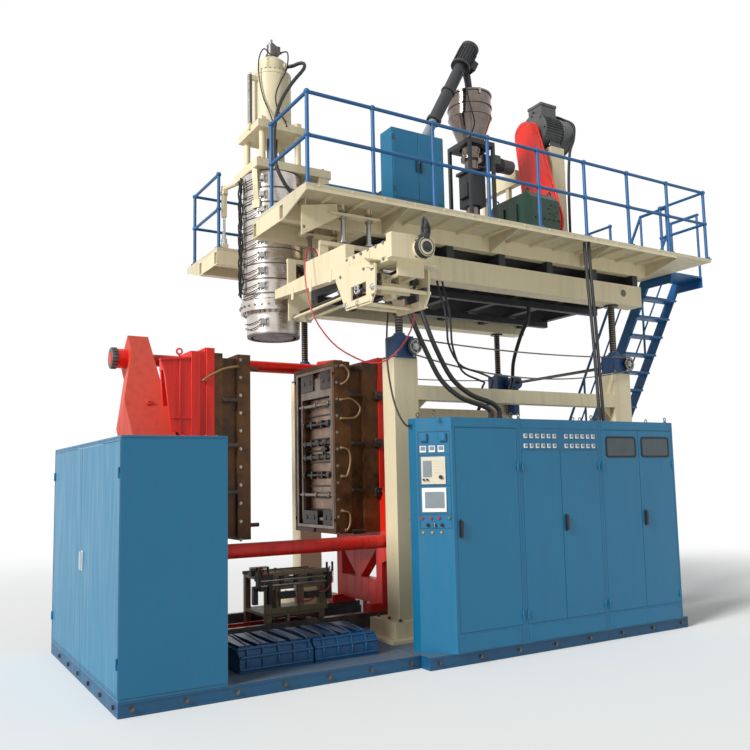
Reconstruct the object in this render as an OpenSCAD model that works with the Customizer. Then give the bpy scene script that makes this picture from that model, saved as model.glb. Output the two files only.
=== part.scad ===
// Large extrusion blow moulding machine. All sizes in millimetres, up is +Z.
// The origin is on the floor under the axis of the die, +X runs along the machine.

/* [Part to show] */
// One piece by its name, or all of them

/* [Base and housing] */
// Height of the base frames under everything
base_height = 110; // [100:1:120]
// Top of the left housing above the floor
housing_top = 2015; // [1950:5:2060]
// Top of the control cabinets above the floor
cabinet_top = 2200; // [2180:5:2215]
// Thickness of the folded sheet of the housings
sheet_wall = 5; // [4:0.5:6]
// Gap round the doors
door_gap = 3; // [2:0.5:4]
// Thickness of a door
door_depth = 25; // [20:1:30]

/* [Support frame and lift] */
// Width of a column along the machine
column_width = 286; // [270:2:296]
// Depth of a column from front to back
column_depth = 220; // [200:2:224]
// Top of the columns above the floor
column_top = 2844; // [2824:2:2850]
// Wall of a column
column_wall = 14; // [10:1:20]
// Diameter of a lifting screw
screw_diameter = 80; // [70:1:86]
// Pitch radius of the lift sprockets
sprocket_radius = 75; // [65:1:80]
// Sag of the lower run of the lift chain
chain_sag = 170; // [100:10:220]

/* [Clamp] */
// Distance between the mould faces when open
daylight = 950; // [930:2:960]
// Diameter of a tie bar
tie_bar_diameter = 135; // [125:1:138]
// Width of the diagonal yoke
yoke_width = 420; // [400:5:440]
// Radius of the outer stage of the clamp ram
ram_radius = 150; // [140:1:155]
// Wall of each stage of the clamp ram
ram_wall = 35; // [30:1:36]

/* [Head and extruder] */
// Radius of the head body
head_radius = 320; // [310:1:325]
// Radius of the die ring
die_radius = 283; // [275:1:290]
// Radius of the barrel cover
barrel_radius = 180; // [170:1:182]
// Diameter of the extruder screw
extruder_screw_diameter = 150; // [130:1:160]
// Radius of the hopper
hopper_radius = 280; // [270:1:290]

/* [Platform] */
// Top of the deck above the floor
deck_top = 4325; // [4322:1:4326]
// Height of the railing above the deck
rail_height = 875; // [850:5:950]
// Diameter of the railing tube
rail_diameter = 42; // [38:1:46]
// Spacing of the railing posts
post_pitch = 704; // [700:1:706]

/* [Fits] */
// Radial clearance of shafts and pins in their holes
slide_fit = 0.05; // [0.02:0.01:0.09]
// Clearance of parts that pass without touching
free_gap = 0.5; // [0.4:0.1:1]

/* [Hidden] */

smooth = 48;
fine = 24;

// Base
base_left = -2090;
base_joint = 517;
base_end = 3917;
base_far = 4460;
base_front = -1925;
base_rear = 770;
wide_front = -2064;
wide_rear = 1450;

// Left housing and its doors
house_right = -1265;
house_door_z = [150, 1975];
house_front_door = [-1890, -563];
house_rear_door = [-557, 735];

// Control cabinets
cab_front = -2097;
cab_back = -1747;
cab_left = 565;
cab_cut = 232;
cab_joint_1 = 1593;
cab_joint_2 = 2671;
cab_right = 3803;
door_1_x = [835, 1560];
door_2_x = [1625, 2117, 2123, 2640];
door_3_x = [2702, 3247, 3253, 3772];
door_1_z = [285, 2105];
door_2_z = [285, 1900];
door_3_z = [285, 2105];
window_z = [1838, 2030];
hinge_out = 8;
hinge_radius = 7;
pin_radius = 3;

// Panel on the cut corner of the first cabinet
button_at = [39, 121, 193, 284];
button_z = 1297;
button_radius = 12;

// Columns and lift
column_x = [918, 4070];
column_y = [-1094, 1092];
plinth_margin = 230;
plinth_top = 286;
cap_top = column_top + 28;
jack_top = cap_top + 230;
jack_half = 105;
worm_shift = 100;
worm_z = cap_top + 118;
worm_radius = 65;
shaft_radius = 20;
sprocket_y = 1235;
screw_radius = screw_diameter / 2;
cross_z = [2452, 2601];

// Platform
lower_z = [3735, 3990];
upper_z = [4125, 4285];
deck_low = deck_top - 40;
rail_first = -395;
rail_last = rail_first + 8 * post_pitch;
rail_margin = [36, 23];
deck_x = [rail_first - rail_margin[0], rail_last + rail_margin[1]];
deck_y = [-1690, 1650];
notch_x = 400;
notch_y = [-462, 590];
rail_y = [-1650, 1469];
rail_top = deck_top + rail_height;
rail_mid = deck_top + rail_height * 0.53;
rail_radius = rail_diameter / 2;
bracket_x = [deck_x[0], 670, 2069, 3466, 4606];
beam_x = [700, 4500];
upper_beam_end = 4616;
front_beam_y = [-1204, -984];
rear_beam_y = [982, 1202];
edge_beam_y = [[-1204, -1104], [1104, 1204]];
tie_beam_x = [420, 2000, 3200, 4516];
tie_beam_width = 100;
joist_x = [760, 1480, 2200, 2920, 3640, 4360];
joist_width = 90;
joist_drop = [160, 240];
joist_seam = 0.3;
runner_y = [-520, 420];
runner_width = 80;

// Clamp
clamp_z = 2022.5;
tie_y = 900;
tie_low = 1026;
tie_high = 3019;
tie_radius = tie_bar_diameter / 2;
tie_span = sqrt(pow(2 * tie_y, 2) + pow(tie_high - tie_low, 2));
tie_angle = atan2(tie_high - tie_low, 2 * tie_y);
tie_end = 47.5;
yoke_face = -1136;
yoke_thin = -1360;
yoke_thick = -1560;
platen_half = 484;
mould_z = [1091, 2917];
half_open = daylight / 2;
left_back = -848;
right_back = 1016;
platen_back = 1131;
stage_1_in = ram_radius - ram_wall;
stage_2_in = stage_1_in - ram_wall;
rail_line = 420;
rail_level = 250;
pinion_x = 330;
pinion_teeth = 20;
tooth_module = 8;
pinion_radius = pinion_teeth * tooth_module / 2;
rack_z = [152, 198];
cavity_y = 330;
cavity_z = [1250, 2560];
cavity_depth = 110;
recess_y = 440;
recess_z = [1135, 2875];
recess_depth = 60;
guide_y = [-462, 462];
guide_z = [1230, 2780];

// Head and extruder
head_low = 3456;
flange_top = 3568;
head_top = deck_top + 665;
core_radius = 60;
die_bore = 245;
barrel_z = deck_top + 420;
bore_radius = extruder_screw_diameter / 2;
gear_x = [3458, 3935];
gear_half = 450;
gear_top = deck_top + 1025;
hopper_x = 2830;
hopper_level = [deck_top + 1465, deck_top + 1984, deck_top + 2295];
neck_radius = 90;
motor_y = 215;
motor_z = deck_top + 2175;
guard_low = [-70, deck_top + 725];
guard_high = [motor_y, motor_z - 60];
guard_x = [gear_x[1] + 10, gear_x[1] + 135];
motor_radius = 240;
motor_seat = motor_z - motor_radius - 20;
stand_x = [guard_x[1] + 170, guard_x[1] + 410];
loader_y = -280;
loader_low = [1150, deck_top + 74];
loader_high = [2650, deck_top + 2805];
loader_bin = [deck_top + 175, deck_top + 535];
feeder_level = deck_top + 1525;
box_level = [deck_top + 175, deck_top + 930];

// Routes of the hoses, points chosen by hand
air_route = [
  [-105, -1250, 3778.3], [-105, -1250, 3820], [-170, -1262, 3862], [-240, -1290, 3780],
  [-285, -1350, 3570], [-288, -1420, 3330], [-266, -1490, 3140], [-190, -1560, 2970],
  [-90, -1620, 2845], [50, -1680, 2755], [190, -1730, 2705], [310, -1800, 2730],
  [410, -1890, 2840], [470, -1970, 2990], [480, -2015, 3120], [420, -2030, 3200],
  [352.3, -2030, 3200]
];
hose_a_route = [
  [840, -1236, 3789.7], [840, -1236, 3690], [840, -1330, 3440], [850, -1470, 3170],
  [920, -1570, 2880], [1010, -1670, 2600], [1150, -1790, 2420], [1330, -1880, 2340],
  [1420, -1900, 2290], [1420, -1900, 2220.3]
];
hose_b_route = [
  [1000, -1236, 3789.7], [1000, -1236, 3690], [1020, -1320, 3440], [1040, -1420, 3170],
  [1080, -1530, 2900], [1160, -1650, 2620], [1290, -1780, 2450], [1450, -1880, 2370],
  [1530, -1900, 2300], [1530, -1900, 2220.3]
];
thin_route = [
  [740, -1236, 3789.7], [740, -1236, 3700], [650, -1330, 3400], [550, -1440, 3080],
  [485, -1540, 2740], [460, -1650, 2440], [465, -1740, 2250], [505, -1800, 2140], [552.7, -1800, 2140]
];
cable_route = [
  [3080, -1650, 4254.7], [3080, -1650, 4130], [3060, -1690, 3700], [3050, -1730, 3230],
  [3030, -1770, 2700], [3010, -1800, 2380], [3010, -1800, 2220.3]
];
head_route = [
  [134.6, -134.6, 6290], [180, -180, 6290], [226, -226, 6308], [262, -284, 6290], [240, -328, 6200],
  [85, -350, 5988], [-63, -380, 5733], [-148, -420, 5484], [-190, -470, 5178], [-190, -520, 4940],
  [-110, -555, 4740], [20, -560, 4590], [60, -560, 4460], [60, -560, 4345.3]
];
gland_x = [740, 840, 1000];
gland_low = 3790;
air_radius = 7;
hose_radius = 24;
cable_radius = 18;
thin_radius = 9;
head_hose_radius = 20;

module span(x, y, z) {
  translate([x[0], y[0], z[0]])
    cube([x[1] - x[0], y[1] - y[0], z[1] - z[0]]);
}

module along_x(x, y, z, r, n = smooth) {
  translate([x[0], y, z])
    rotate([0, 90, 0])
      cylinder(h = x[1] - x[0], r = r, $fn = n);
}

module along_y(x, y, z, r, n = smooth) {
  translate([x, y[1], z])
    rotate([90, 0, 0])
      cylinder(h = y[1] - y[0], r = r, $fn = n);
}

module along_z(x, y, z, r, n = smooth) {
  translate([x, y, z[0]])
    cylinder(h = z[1] - z[0], r = r, $fn = n);
}

module rod(a, b, r, n = fine) {
  d = b - a;
  l = norm(d);
  translate(a)
    rotate([0, acos(d[2] / l), atan2(d[1], d[0])])
      cylinder(h = l, r = r, $fn = n);
}

// Hollow rectangular tube along the machine
module box_tube_x(x, y, z, wall) {
  difference() {
    span(x, y, z);
    span([x[0] - 1, x[1] + 1], [y[0] + wall, y[1] - wall], [z[0] + wall, z[1] - wall]);
  }
}

module box_tube_y(x, y, z, wall) {
  difference() {
    span(x, y, z);
    span([x[0] + wall, x[1] - wall], [y[0] - 1, y[1] + 1], [z[0] + wall, z[1] - wall]);
  }
}

// Plate of a polygon drawn in y and z, thickness along the machine
module plate_x(x, points) {
  translate([x[0], 0, 0])
    rotate([90, 0, 90])
      linear_extrude(height = x[1] - x[0])
        polygon(points);
}

// Plate of a polygon drawn in x and z, thickness from front to back
module plate_y(y, points) {
  translate([0, y[1], 0])
    rotate([90, 0, 0])
      linear_extrude(height = y[1] - y[0])
        polygon(points);
}

function unit(v) = v / norm(v);

function side_of(t) = abs(t[1]) > 0.9 * norm(t) ? unit(cross(t, [1, 0, 0])) : unit(cross(t, [0, 1, 0]));

// Swept tube through the points of a route
module tube_along(path, r, sides = 8) {
  n = len(path);
  rings = [
    for (i = [0 : n - 1])
      let (t = unit(path[min(i + 1, n - 1)] - path[max(i - 1, 0)]))
      let (u = side_of(t))
      let (v = cross(t, u))
      for (k = [0 : sides - 1])
        path[i] + r * (cos(360 * k / sides) * u + sin(360 * k / sides) * v)
  ];
  walls = [
    for (i = [0 : n - 2])
      for (k = [0 : sides - 1])
        let (a = i * sides + k)
        let (b = i * sides + (k + 1) % sides)
        for (face = [[a, a + sides, b + sides], [a, b + sides, b]])
          face
  ];
  start = [for (k = [0 : sides - 1]) k];
  finish = [for (k = [sides - 1 : -1 : 0]) (n - 1) * sides + k];
  polyhedron(points = rings, faces = concat([start], walls, [finish]));
}

module hinge_place(place, turn, flip) {
  translate(place)
    rotate([0, 0, turn])
      mirror([flip, 0, 0])
        children();
}

// Fixed half of a hinge, its door side is +X and its outside is -Y
module hinge_fixed() {
  difference() {
    union() {
      cylinder(h = 40, r = hinge_radius, $fn = fine);
      translate([-26, hinge_out - 3, 0])
        cube([22, 4, 40]);
      translate([-6, 0, 0])
        cube([5, hinge_out + 1, 40]);
    }
    translate([0, 0, -1])
      cylinder(h = 42, r = pin_radius + slide_fit, $fn = fine);
  }
}

// Door half of a hinge with the pin that stands in the fixed half
module hinge_moving() {
  translate([0, 0, 40.5])
    cylinder(h = 40, r = hinge_radius, $fn = fine);
  translate([0, 0, 2])
    cylinder(h = 45, r = pin_radius, $fn = fine);
  translate([4, hinge_out - 3, 40.5])
    cube([26, 4, 40]);
  translate([1, 0, 40.5])
    cube([5, hinge_out + 1, 40]);
}

hinge_low = 330;
hinge_high = 1700;
left_hinge_front = [base_left - hinge_out, house_front_door[0] - door_gap / 2, 0];
left_hinge_rear = [base_left - hinge_out, house_rear_door[1] + door_gap / 2, 0];

function cab_hinge(x) = [x, cab_front - hinge_out, 0];

module base() {
  color("#1f4f78") {
    span([base_left, base_joint - 2], [base_front, base_rear], [0, base_height]);
    linear_extrude(height = base_height)
      polygon([
        [base_joint + 2, wide_front], [base_end, wide_front], [base_end, -1480], [base_far, -1480],
        [base_far, wide_rear], [base_joint + 2, wide_rear]
      ]);
  }
}

module left_housing() {
  low = base_height;
  color("#2f6f93") {
    difference() {
      span([base_left, house_right], [base_front, base_rear], [low, housing_top]);
      span([base_left + sheet_wall, house_right + 1], [base_front + sheet_wall, base_rear - sheet_wall],
        [low - 1, housing_top - sheet_wall]);
      span([base_left - 1, base_left + sheet_wall + 1],
        [house_front_door[0] - door_gap, house_rear_door[1] + door_gap],
        [house_door_z[0] - door_gap, house_door_z[1] + door_gap]);
      span([base_left + 40, house_right + 1], [-620, 620], [housing_top - sheet_wall - 1, housing_top + 1]);
    }
    for (z = [hinge_low, hinge_high]) {
      hinge_place(left_hinge_front + [0, 0, z], -90, 1)
        hinge_fixed();
      hinge_place(left_hinge_rear + [0, 0, z], -90, 0)
        hinge_fixed();
    }
  }
}

module housing_door(y, at, flip) {
  color("#7fb0cf") {
    difference() {
      span([base_left, base_left + door_depth], y, house_door_z);
      span([base_left + 2, base_left + door_depth + 1], [y[0] + 40, y[1] - 40],
        [house_door_z[0] + 40, house_door_z[1] - 40]);
      if (flip == 1)
        along_x([base_left - 1, base_left + door_depth + 1], house_front_door[1] - 60, 1010,
          9 + slide_fit, fine);
    }
    for (z = [hinge_low, hinge_high])
      hinge_place(at + [0, 0, z], -90, flip)
        hinge_moving();
  }
}

module housing_door_front() {
  housing_door(house_front_door, left_hinge_front, 1);
  color("#7fb0cf")
    difference() {
      span([base_left + 1, base_left + door_depth],
        [house_front_door[1] - 95, house_front_door[1] - 25], [960, 1060]);
      along_x([base_left - 1, base_left + door_depth + 1], house_front_door[1] - 60, 1010,
        9 + slide_fit, fine);
    }
}

module housing_door_rear() {
  housing_door(house_rear_door, left_hinge_rear, 0);
}

module housing_handle() {
  y = house_front_door[1] - 60;
  color("#d8d8d8") {
    along_x([base_left - 24, base_left + door_depth + 10], y, 1010, 9, fine);
    span([base_left - 24, base_left - 10], [y - 11, y + 11], [935, 1085]);
    span([base_left + door_depth + 1, base_left + door_depth + 7], [y - 20, y + 50], [995, 1025]);
  }
}

module cabinet_shell(outer, inner) {
  difference() {
    translate([0, 0, base_height])
      linear_extrude(height = cabinet_top - base_height)
        polygon(outer);
    translate([0, 0, base_height + sheet_wall])
      linear_extrude(height = cabinet_top - base_height - 2 * sheet_wall)
        polygon(inner);
  }
}

module door_hole(x, z) {
  span([x[0] - door_gap, x[1] + door_gap], [cab_front - 1, cab_front + sheet_wall + 1],
    [z[0] - door_gap, z[1] + door_gap]);
}

module at_panel(s, z) {
  translate([cab_left, cab_front + cab_cut, z])
    rotate([0, 0, -45])
      translate([s, 0, 0])
        rotate([90, 0, 0])
          children();
}

module control_cabinets() {
  w = sheet_wall;
  c = cab_front + cab_cut;
  color("#2f6f93") {
    difference() {
      cabinet_shell(
        [
          [cab_left, cab_back], [cab_left, c], [cab_left + cab_cut, cab_front],
          [cab_joint_1 - 1, cab_front], [cab_joint_1 - 1, cab_back]
        ],
        [
          [cab_left + w, cab_back - w], [cab_left + w, c + w / 2],
          [cab_left + cab_cut + w / 2, cab_front + w],
          [cab_joint_1 - 1 - w, cab_front + w], [cab_joint_1 - 1 - w, cab_back - w]
        ]
      );
      door_hole(door_1_x, door_1_z);
      for (s = button_at)
        at_panel(s, button_z)
          translate([0, 0, -20])
            cylinder(h = 40, r = button_radius + slide_fit, $fn = fine);
    }
    for (s = button_at)
      at_panel(s, button_z)
        difference() {
          translate([0, 0, -3])
            cylinder(h = 9, r = button_radius + 6, $fn = fine);
          translate([0, 0, -20])
            cylinder(h = 40, r = button_radius + slide_fit, $fn = fine);
        }
    difference() {
      cabinet_shell(
        [
          [cab_joint_1 + 1, cab_back], [cab_joint_1 + 1, cab_front],
          [cab_joint_2 - 1, cab_front], [cab_joint_2 - 1, cab_back]
        ],
        [
          [cab_joint_1 + 1 + w, cab_back - w], [cab_joint_1 + 1 + w, cab_front + w],
          [cab_joint_2 - 1 - w, cab_front + w], [cab_joint_2 - 1 - w, cab_back - w]
        ]
      );
      door_hole([door_2_x[0], door_2_x[3]], door_2_z);
    }
    difference() {
      cabinet_shell(
        [
          [cab_joint_2 + 1, cab_back], [cab_joint_2 + 1, cab_front],
          [cab_right, cab_front], [cab_right, cab_back]
        ],
        [
          [cab_joint_2 + 1 + w, cab_back - w], [cab_joint_2 + 1 + w, cab_front + w],
          [cab_right - w, cab_front + w], [cab_right - w, cab_back - w]
        ]
      );
      door_hole([door_3_x[0], door_3_x[3]], door_3_z);
    }
    along_x([553, cab_left + 1], -1800, 2140, 16, fine);
    for (x = [1420, 1530])
      along_z(x, -1900, [cabinet_top - 1, 2220], 32, fine);
    along_z(3010, -1800, [cabinet_top - 1, 2220], 26, fine);
    for (z = [hinge_low, hinge_high]) {
      hinge_place(cab_hinge(door_1_x[1] + door_gap / 2) + [0, 0, z], 0, 1)
        hinge_fixed();
      hinge_place(cab_hinge(door_2_x[0] - door_gap / 2) + [0, 0, z], 0, 0)
        hinge_fixed();
      hinge_place(cab_hinge(door_2_x[3] + door_gap / 2) + [0, 0, z], 0, 1)
        hinge_fixed();
      hinge_place(cab_hinge(door_3_x[0] - door_gap / 2) + [0, 0, z], 0, 0)
        hinge_fixed();
      hinge_place(cab_hinge(door_3_x[3] + door_gap / 2) + [0, 0, z], 0, 1)
        hinge_fixed();
    }
  }
}

module cabinet_door(x, z, hinge_x, flip) {
  color("#3a7ba0") {
    difference() {
      span(x, [cab_front, cab_front + door_depth], z);
      span([x[0] + 40, x[1] - 40], [cab_front + 2, cab_front + door_depth + 1], [z[0] + 40, z[1] - 40]);
      children();
    }
    for (h = [hinge_low, hinge_high])
      hinge_place(cab_hinge(hinge_x) + [0, 0, h], 0, flip)
        hinge_moving();
  }
}

module lock_hole(x, z) {
  along_y(x, [cab_front - 1, cab_front + door_depth + 1], z, 9 + slide_fit, fine);
}

// Block behind the sheet that carries the spindle of a handle
module lock_block(x, z) {
  color("#3a7ba0")
    difference() {
      span([x - 35, x + 35], [cab_front + 1, cab_front + door_depth], [z - 50, z + 50]);
      lock_hole(x, z);
    }
}

module cabinet_handle(x, z, latch) {
  color("#1c1c1e") {
    along_y(x, [cab_front - 24, cab_front + door_depth + 10], z, 9, fine);
    span([x - 13, x + 13], [cab_front - 26, cab_front - 10], [z - 72, z + 72]);
    span([min(x - 15, x + latch), max(x + 15, x + latch)],
      [cab_front + door_depth + 1, cab_front + door_depth + 7], [z - 15, z + 15]);
  }
}

handle_1_x = 870;
handle_2_x = 2165;
handle_3_x = 3305;
handle_z = 1195;

module door_1() {
  cabinet_door(door_1_x, door_1_z, door_1_x[1] + door_gap / 2, 1)
    lock_hole(handle_1_x, handle_z);
  lock_block(handle_1_x, handle_z);
}

module door_2_left() {
  cabinet_door([door_2_x[0], door_2_x[1]], door_2_z, door_2_x[0] - door_gap / 2, 0);
}

module door_2_right() {
  cabinet_door([door_2_x[2], door_2_x[3]], door_2_z, door_2_x[3] + door_gap / 2, 1)
    lock_hole(handle_2_x, handle_z);
  lock_block(handle_2_x, handle_z);
}

module door_3_left() {
  cabinet_door([door_3_x[0], door_3_x[1]], door_3_z, door_3_x[0] - door_gap / 2, 0);
}

module door_3_right() {
  cabinet_door([door_3_x[2], door_3_x[3]], door_3_z, door_3_x[3] + door_gap / 2, 1)
    lock_hole(handle_3_x, handle_z);
  lock_block(handle_3_x, handle_z);
}

module handle_1() {
  cabinet_handle(handle_1_x, handle_z, -30);
}

module handle_2() {
  cabinet_handle(handle_2_x, handle_z, -30);
}

module handle_3() {
  cabinet_handle(handle_3_x, handle_z, -30);
}

module button(i, tint) {
  color(tint)
    at_panel(button_at[i], button_z) {
      translate([0, 0, -18])
        cylinder(h = 32, r = button_radius, $fn = fine);
      translate([0, 0, -22])
        cylinder(h = 4, r = button_radius + 3, $fn = fine);
    }
}

module button_1() {
  button(0, "#b3201c");
}

module button_2() {
  button(1, "#b3201c");
}

module button_3() {
  button(2, "#b3201c");
}

module button_4() {
  button(3, "#5c8f6a");
}

module column(cx, cy) {
  hx = column_width / 2;
  hy = column_depth / 2;
  px = hx + plinth_margin;
  py = hy + plinth_margin;
  span([cx - px, cx + px], [cy - py, cy + py], [base_height, base_height + 30]);
  difference() {
    span([cx - hx - 130, cx + hx + 130], [cy - hy - 130, cy + hy + 130], [base_height + 30, plinth_top]);
    span([cx - hx - 110, cx + hx + 110], [cy - hy - 110, cy + hy + 110],
      [base_height + 29, plinth_top - 20]);
  }
  difference() {
    span([cx - hx, cx + hx], [cy - hy, cy + hy], [plinth_top, cap_top]);
    span([cx - hx + column_wall, cx + hx - column_wall], [cy - hy + column_wall, cy + hy - column_wall],
      [plinth_top - 1, column_top]);
    along_z(cx, cy, [column_top - 1, cap_top + 1], screw_radius + 8);
  }
}

module cross_beam(y) {
  a = column_x[0] + column_width / 2;
  b = column_x[1] - column_width / 2;
  box_tube_x([a, b], y, cross_z, 12);
  plate_y([(y[0] + y[1]) / 2 - 8, (y[0] + y[1]) / 2 + 8],
    [[a, cross_z[0]], [a + 153, cross_z[0]], [a, cross_z[0] - 135]]);
  plate_y([(y[0] + y[1]) / 2 - 8, (y[0] + y[1]) / 2 + 8],
    [[b, cross_z[0]], [b - 153, cross_z[0]], [b, cross_z[0] - 135]]);
}

module support_frame() {
  color("#d8cfae") {
    for (cx = column_x)
      for (cy = column_y)
        column(cx, cy);
    cross_beam([-1204, -1054]);
    cross_beam([1052, 1202]);
  }
}

module screw_jacks() {
  color("#20538a")
    for (cx = column_x)
      for (cy = column_y)
        difference() {
          union() {
            span([cx - jack_half, cx + jack_half], [cy - jack_half, cy + jack_half], [cap_top, jack_top]);
            along_y(cx + worm_shift, [cy - jack_half, cy + jack_half], worm_z, worm_radius);
          }
          along_z(cx, cy, [cap_top - 1, jack_top + 1], screw_radius + slide_fit);
          along_y(cx + worm_shift, [cy - jack_half - 1, cy + jack_half + 1], worm_z,
            shaft_radius + slide_fit);
        }
  color("#2d3236")
    difference() {
      x = column_x[1] + worm_shift;
      y = column_y[1] - jack_half;
      union() {
        along_y(x, [y - 200, y], worm_z, 90);
        along_z(x, y - 100, [worm_z - 460, worm_z], 78);
      }
      along_y(x, [y - 201, y + 1], worm_z, shaft_radius + slide_fit);
    }
}

module sprocket(x, y) {
  along_y(x, [y - 8, y + 8], worm_z, sprocket_radius - free_gap);
}

module left_sprockets() {
  x = column_x[0] + worm_shift;
  color("#3b3f43") {
    sprocket(x, -sprocket_y);
    along_y(x, [-sprocket_y - 14, column_y[0] + jack_half - 4], worm_z, shaft_radius);
    sprocket(x, sprocket_y);
    along_y(x, [column_y[1] - jack_half + 4, sprocket_y + 14], worm_z, shaft_radius);
  }
}

module line_shaft() {
  x = column_x[1] + worm_shift;
  color("#3b3f43") {
    sprocket(x, -sprocket_y);
    sprocket(x, sprocket_y);
    along_y(x, [-sprocket_y - 14, sprocket_y + 14], worm_z, shaft_radius);
  }
}

// Outline of the chain loop, grown by a distance from its inner face
function chain_loop(grow) =
  let (a = column_x[0] + worm_shift)
  let (b = column_x[1] + worm_shift)
  let (r = sprocket_radius + grow)
  concat(
    [for (i = [0 : 11]) [a + r * cos(90 + 15 * i), worm_z + r * sin(90 + 15 * i)]],
    [for (i = [0 : 20]) let (t = i / 20) [a + (b - a) * t, worm_z - r - chain_sag * 4 * t * (1 - t)]],
    [for (i = [1 : 11]) [b + r * cos(270 + 15 * i), worm_z + r * sin(270 + 15 * i)]],
    [for (i = [0 : 20]) let (t = i / 20) [b + (a - b) * t, worm_z + r - 50 * 4 * t * (1 - t)]]
  );

module lift_chain() {
  color("#7d7f80")
    for (y = [-sprocket_y, sprocket_y])
      difference() {
        plate_y([y - 9, y + 9], chain_loop(14));
        plate_y([y - 10, y + 10], chain_loop(1));
      }
}

module lift_screws() {
  color("#8f9295")
    for (cx = column_x)
      for (cy = column_y) {
        along_z(cx, cy, [column_top - 380, lower_z[0]], screw_radius);
        along_z(cx, cy, [lower_z[0] - 24, lower_z[0]], screw_radius + 45);
      }
}

module clamp_rails() {
  color("#3a3d40")
    for (y = [-rail_line, rail_line]) {
      span([-1250, 1250], [y - 60, y + 60], [base_height, 200]);
      span([-1250, 1250], [y - 30, y + 30], [200, rail_level]);
    }
}

module sync_pinion() {
  color("#5a5d60") {
    difference() {
      along_z(pinion_x, 0, [rack_z[0], rack_z[1]], pinion_radius - 1.25 * tooth_module);
      along_z(pinion_x, 0, [base_height - 1, rack_z[1] + 1], 25 + slide_fit);
    }
    for (i = [0 : pinion_teeth - 1])
      translate([pinion_x, 0, rack_z[0]])
        rotate([0, 0, 360 * i / pinion_teeth])
          linear_extrude(height = rack_z[1] - rack_z[0])
            polygon([
              [pinion_radius - 1.3 * tooth_module, -8.5], [pinion_radius + 0.9 * tooth_module, -3.2],
              [pinion_radius + 0.9 * tooth_module, 3.2], [pinion_radius - 1.3 * tooth_module, 8.5]
            ]);
  }
}

// Toothed rack along X, its teeth point to the pinion
module rack(x, side) {
  pitch = tooth_module * PI;
  root = pinion_radius + 1.25 * tooth_module;
  first = ceil((x[0] + 12 - pinion_x) / pitch - 0.5);
  last = floor((x[1] - 12 - pinion_x) / pitch - 0.5);
  mirror([0, side < 0 ? 1 : 0, 0]) {
    span(x, [root, root + 30], rack_z);
    translate([0, 0, rack_z[0]])
      linear_extrude(height = rack_z[1] - rack_z[0])
        for (i = [first : last])
          translate([pinion_x + (i + 0.5) * pitch, 0])
            polygon([
              [-8.3, root + 0.2], [-3.2, pinion_radius - 0.85 * tooth_module],
              [3.2, pinion_radius - 0.85 * tooth_module], [8.3, root + 0.2]
            ]);
  }
}

module blow_station() {
  color("#cfc6a4")
    difference() {
      union() {
        for (x = [-240, 360])
          for (y = [-300, 240])
            span([x, x + 60], [y, y + 60], [base_height, 640]);
        span([-240, 420], [-300, 300], [290, 320]);
        difference() {
          span([-240, 420], [-300, 300], [640, 680]);
          span([-180, 360], [-240, 240], [639, 681]);
        }
        span([-60, 60], [-240, 240], [640, 680]);
        along_z(0, 0, [320, 640], 55);
      }
      along_z(0, 0, [289, 681], 25 + slide_fit);
    }
  color("#5a5d60") {
    along_z(pinion_x, 0, [base_height, rack_z[0] - free_gap], 45);
    along_z(pinion_x, 0, [base_height, rack_z[1] + 12], 25);
  }
}

module blow_pin() {
  color("#c9cccd") {
    along_z(0, 0, [130, 700], 25);
    along_z(0, 0, [680, 700], 45);
    along_z(0, 0, [700, 745], 18);
  }
}

module moulded_panel() {
  z = base_height;
  color("#1c66a8")
    difference() {
      union() {
        plate_x([-1059, 250], [
          [-1650, z], [-1000, z], [-1000, z + 180], [-1590, z + 180], [-1650, z + 120]
        ]);
        for (i = [0 : 7])
          span([-1030 + 160 * i, -930 + 160 * i], [-1560, -1030], [z + 170, z + 205]);
      }
      span([-396, -376], [-1651, -1560], [z - 1, z + 206]);
      span([-1000, 190], [-1600, -1050], [z - 1, z + 130]);
    }
}

module platen_feet(x) {
  for (y = [-rail_line, rail_line])
    span(x, [y - 55, y + 55], [rail_level, rail_level + 90]);
}

module left_platen() {
  color("#d3281c") {
    plate_x([-1090, -943], [
      [-platen_half, rail_level + 71], [platen_half, rail_level + 71],
      [platen_half, 2923], [-platen_half, 2923]
    ]);
    plate_x([-943, left_back], [
      [-platen_half, 900], [platen_half, 900], [platen_half, 2964], [-platen_half, 2964]
    ]);
    platen_feet([-1200, -880]);
    plate_y([-484, -444], [[-1090, 2100], [-1090, 2860], [-1390, 2830], [-1340, 2700], [-1270, 2150]]);
    plate_y([-300, -260], [[-1090, 2400], [-1090, 2860], [-1330, 2830], [-1300, 2400]]);
    span([-1330, -1090], [-484, -260], [2740, 2780]);
    span([-1090, -1060], [-300, 300], [rail_level - 98, rail_level + 71]);
    span([-1090, -1060], [80, 122], [rack_z[0], rail_level + 71]);
  }
  color("#5a5d60")
    rack([-1090, pinion_x + 30], 1);
}

module left_mould() {
  f = -half_open;
  color("#4a3a2c")
    difference() {
      union() {
        span([left_back, -766], [-platen_half, platen_half], mould_z);
        span([-766, -612], [-440, 440], [1130, 2878]);
        span([-612, f], [-platen_half, platen_half], mould_z);
        for (y = guide_y)
          for (z = guide_z)
            along_x([f - 2, f + 90], y, z, 20, fine);
      }
      span([f - recess_depth, f + 1], [-recess_y, recess_y], recess_z);
      span([f - cavity_depth, f + 1], [-cavity_y, cavity_y], cavity_z);
      along_z(f, 0, [mould_z[0] - 1, cavity_z[0] + 1], 32);
    }
}

module ram_rod() {
  color("#c9cccd") {
    along_x([yoke_thick + 40, -1112], 0, clamp_z, stage_2_in - slide_fit);
    along_x([-1113, -1090], 0, clamp_z, 130);
  }
}

module ram_stage_1() {
  color("#c9cccd")
    difference() {
      along_x([yoke_thick + 16, -1130], 0, clamp_z, ram_radius - slide_fit);
      along_x([yoke_thick + 26, -1129], 0, clamp_z, stage_1_in);
    }
}

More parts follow.
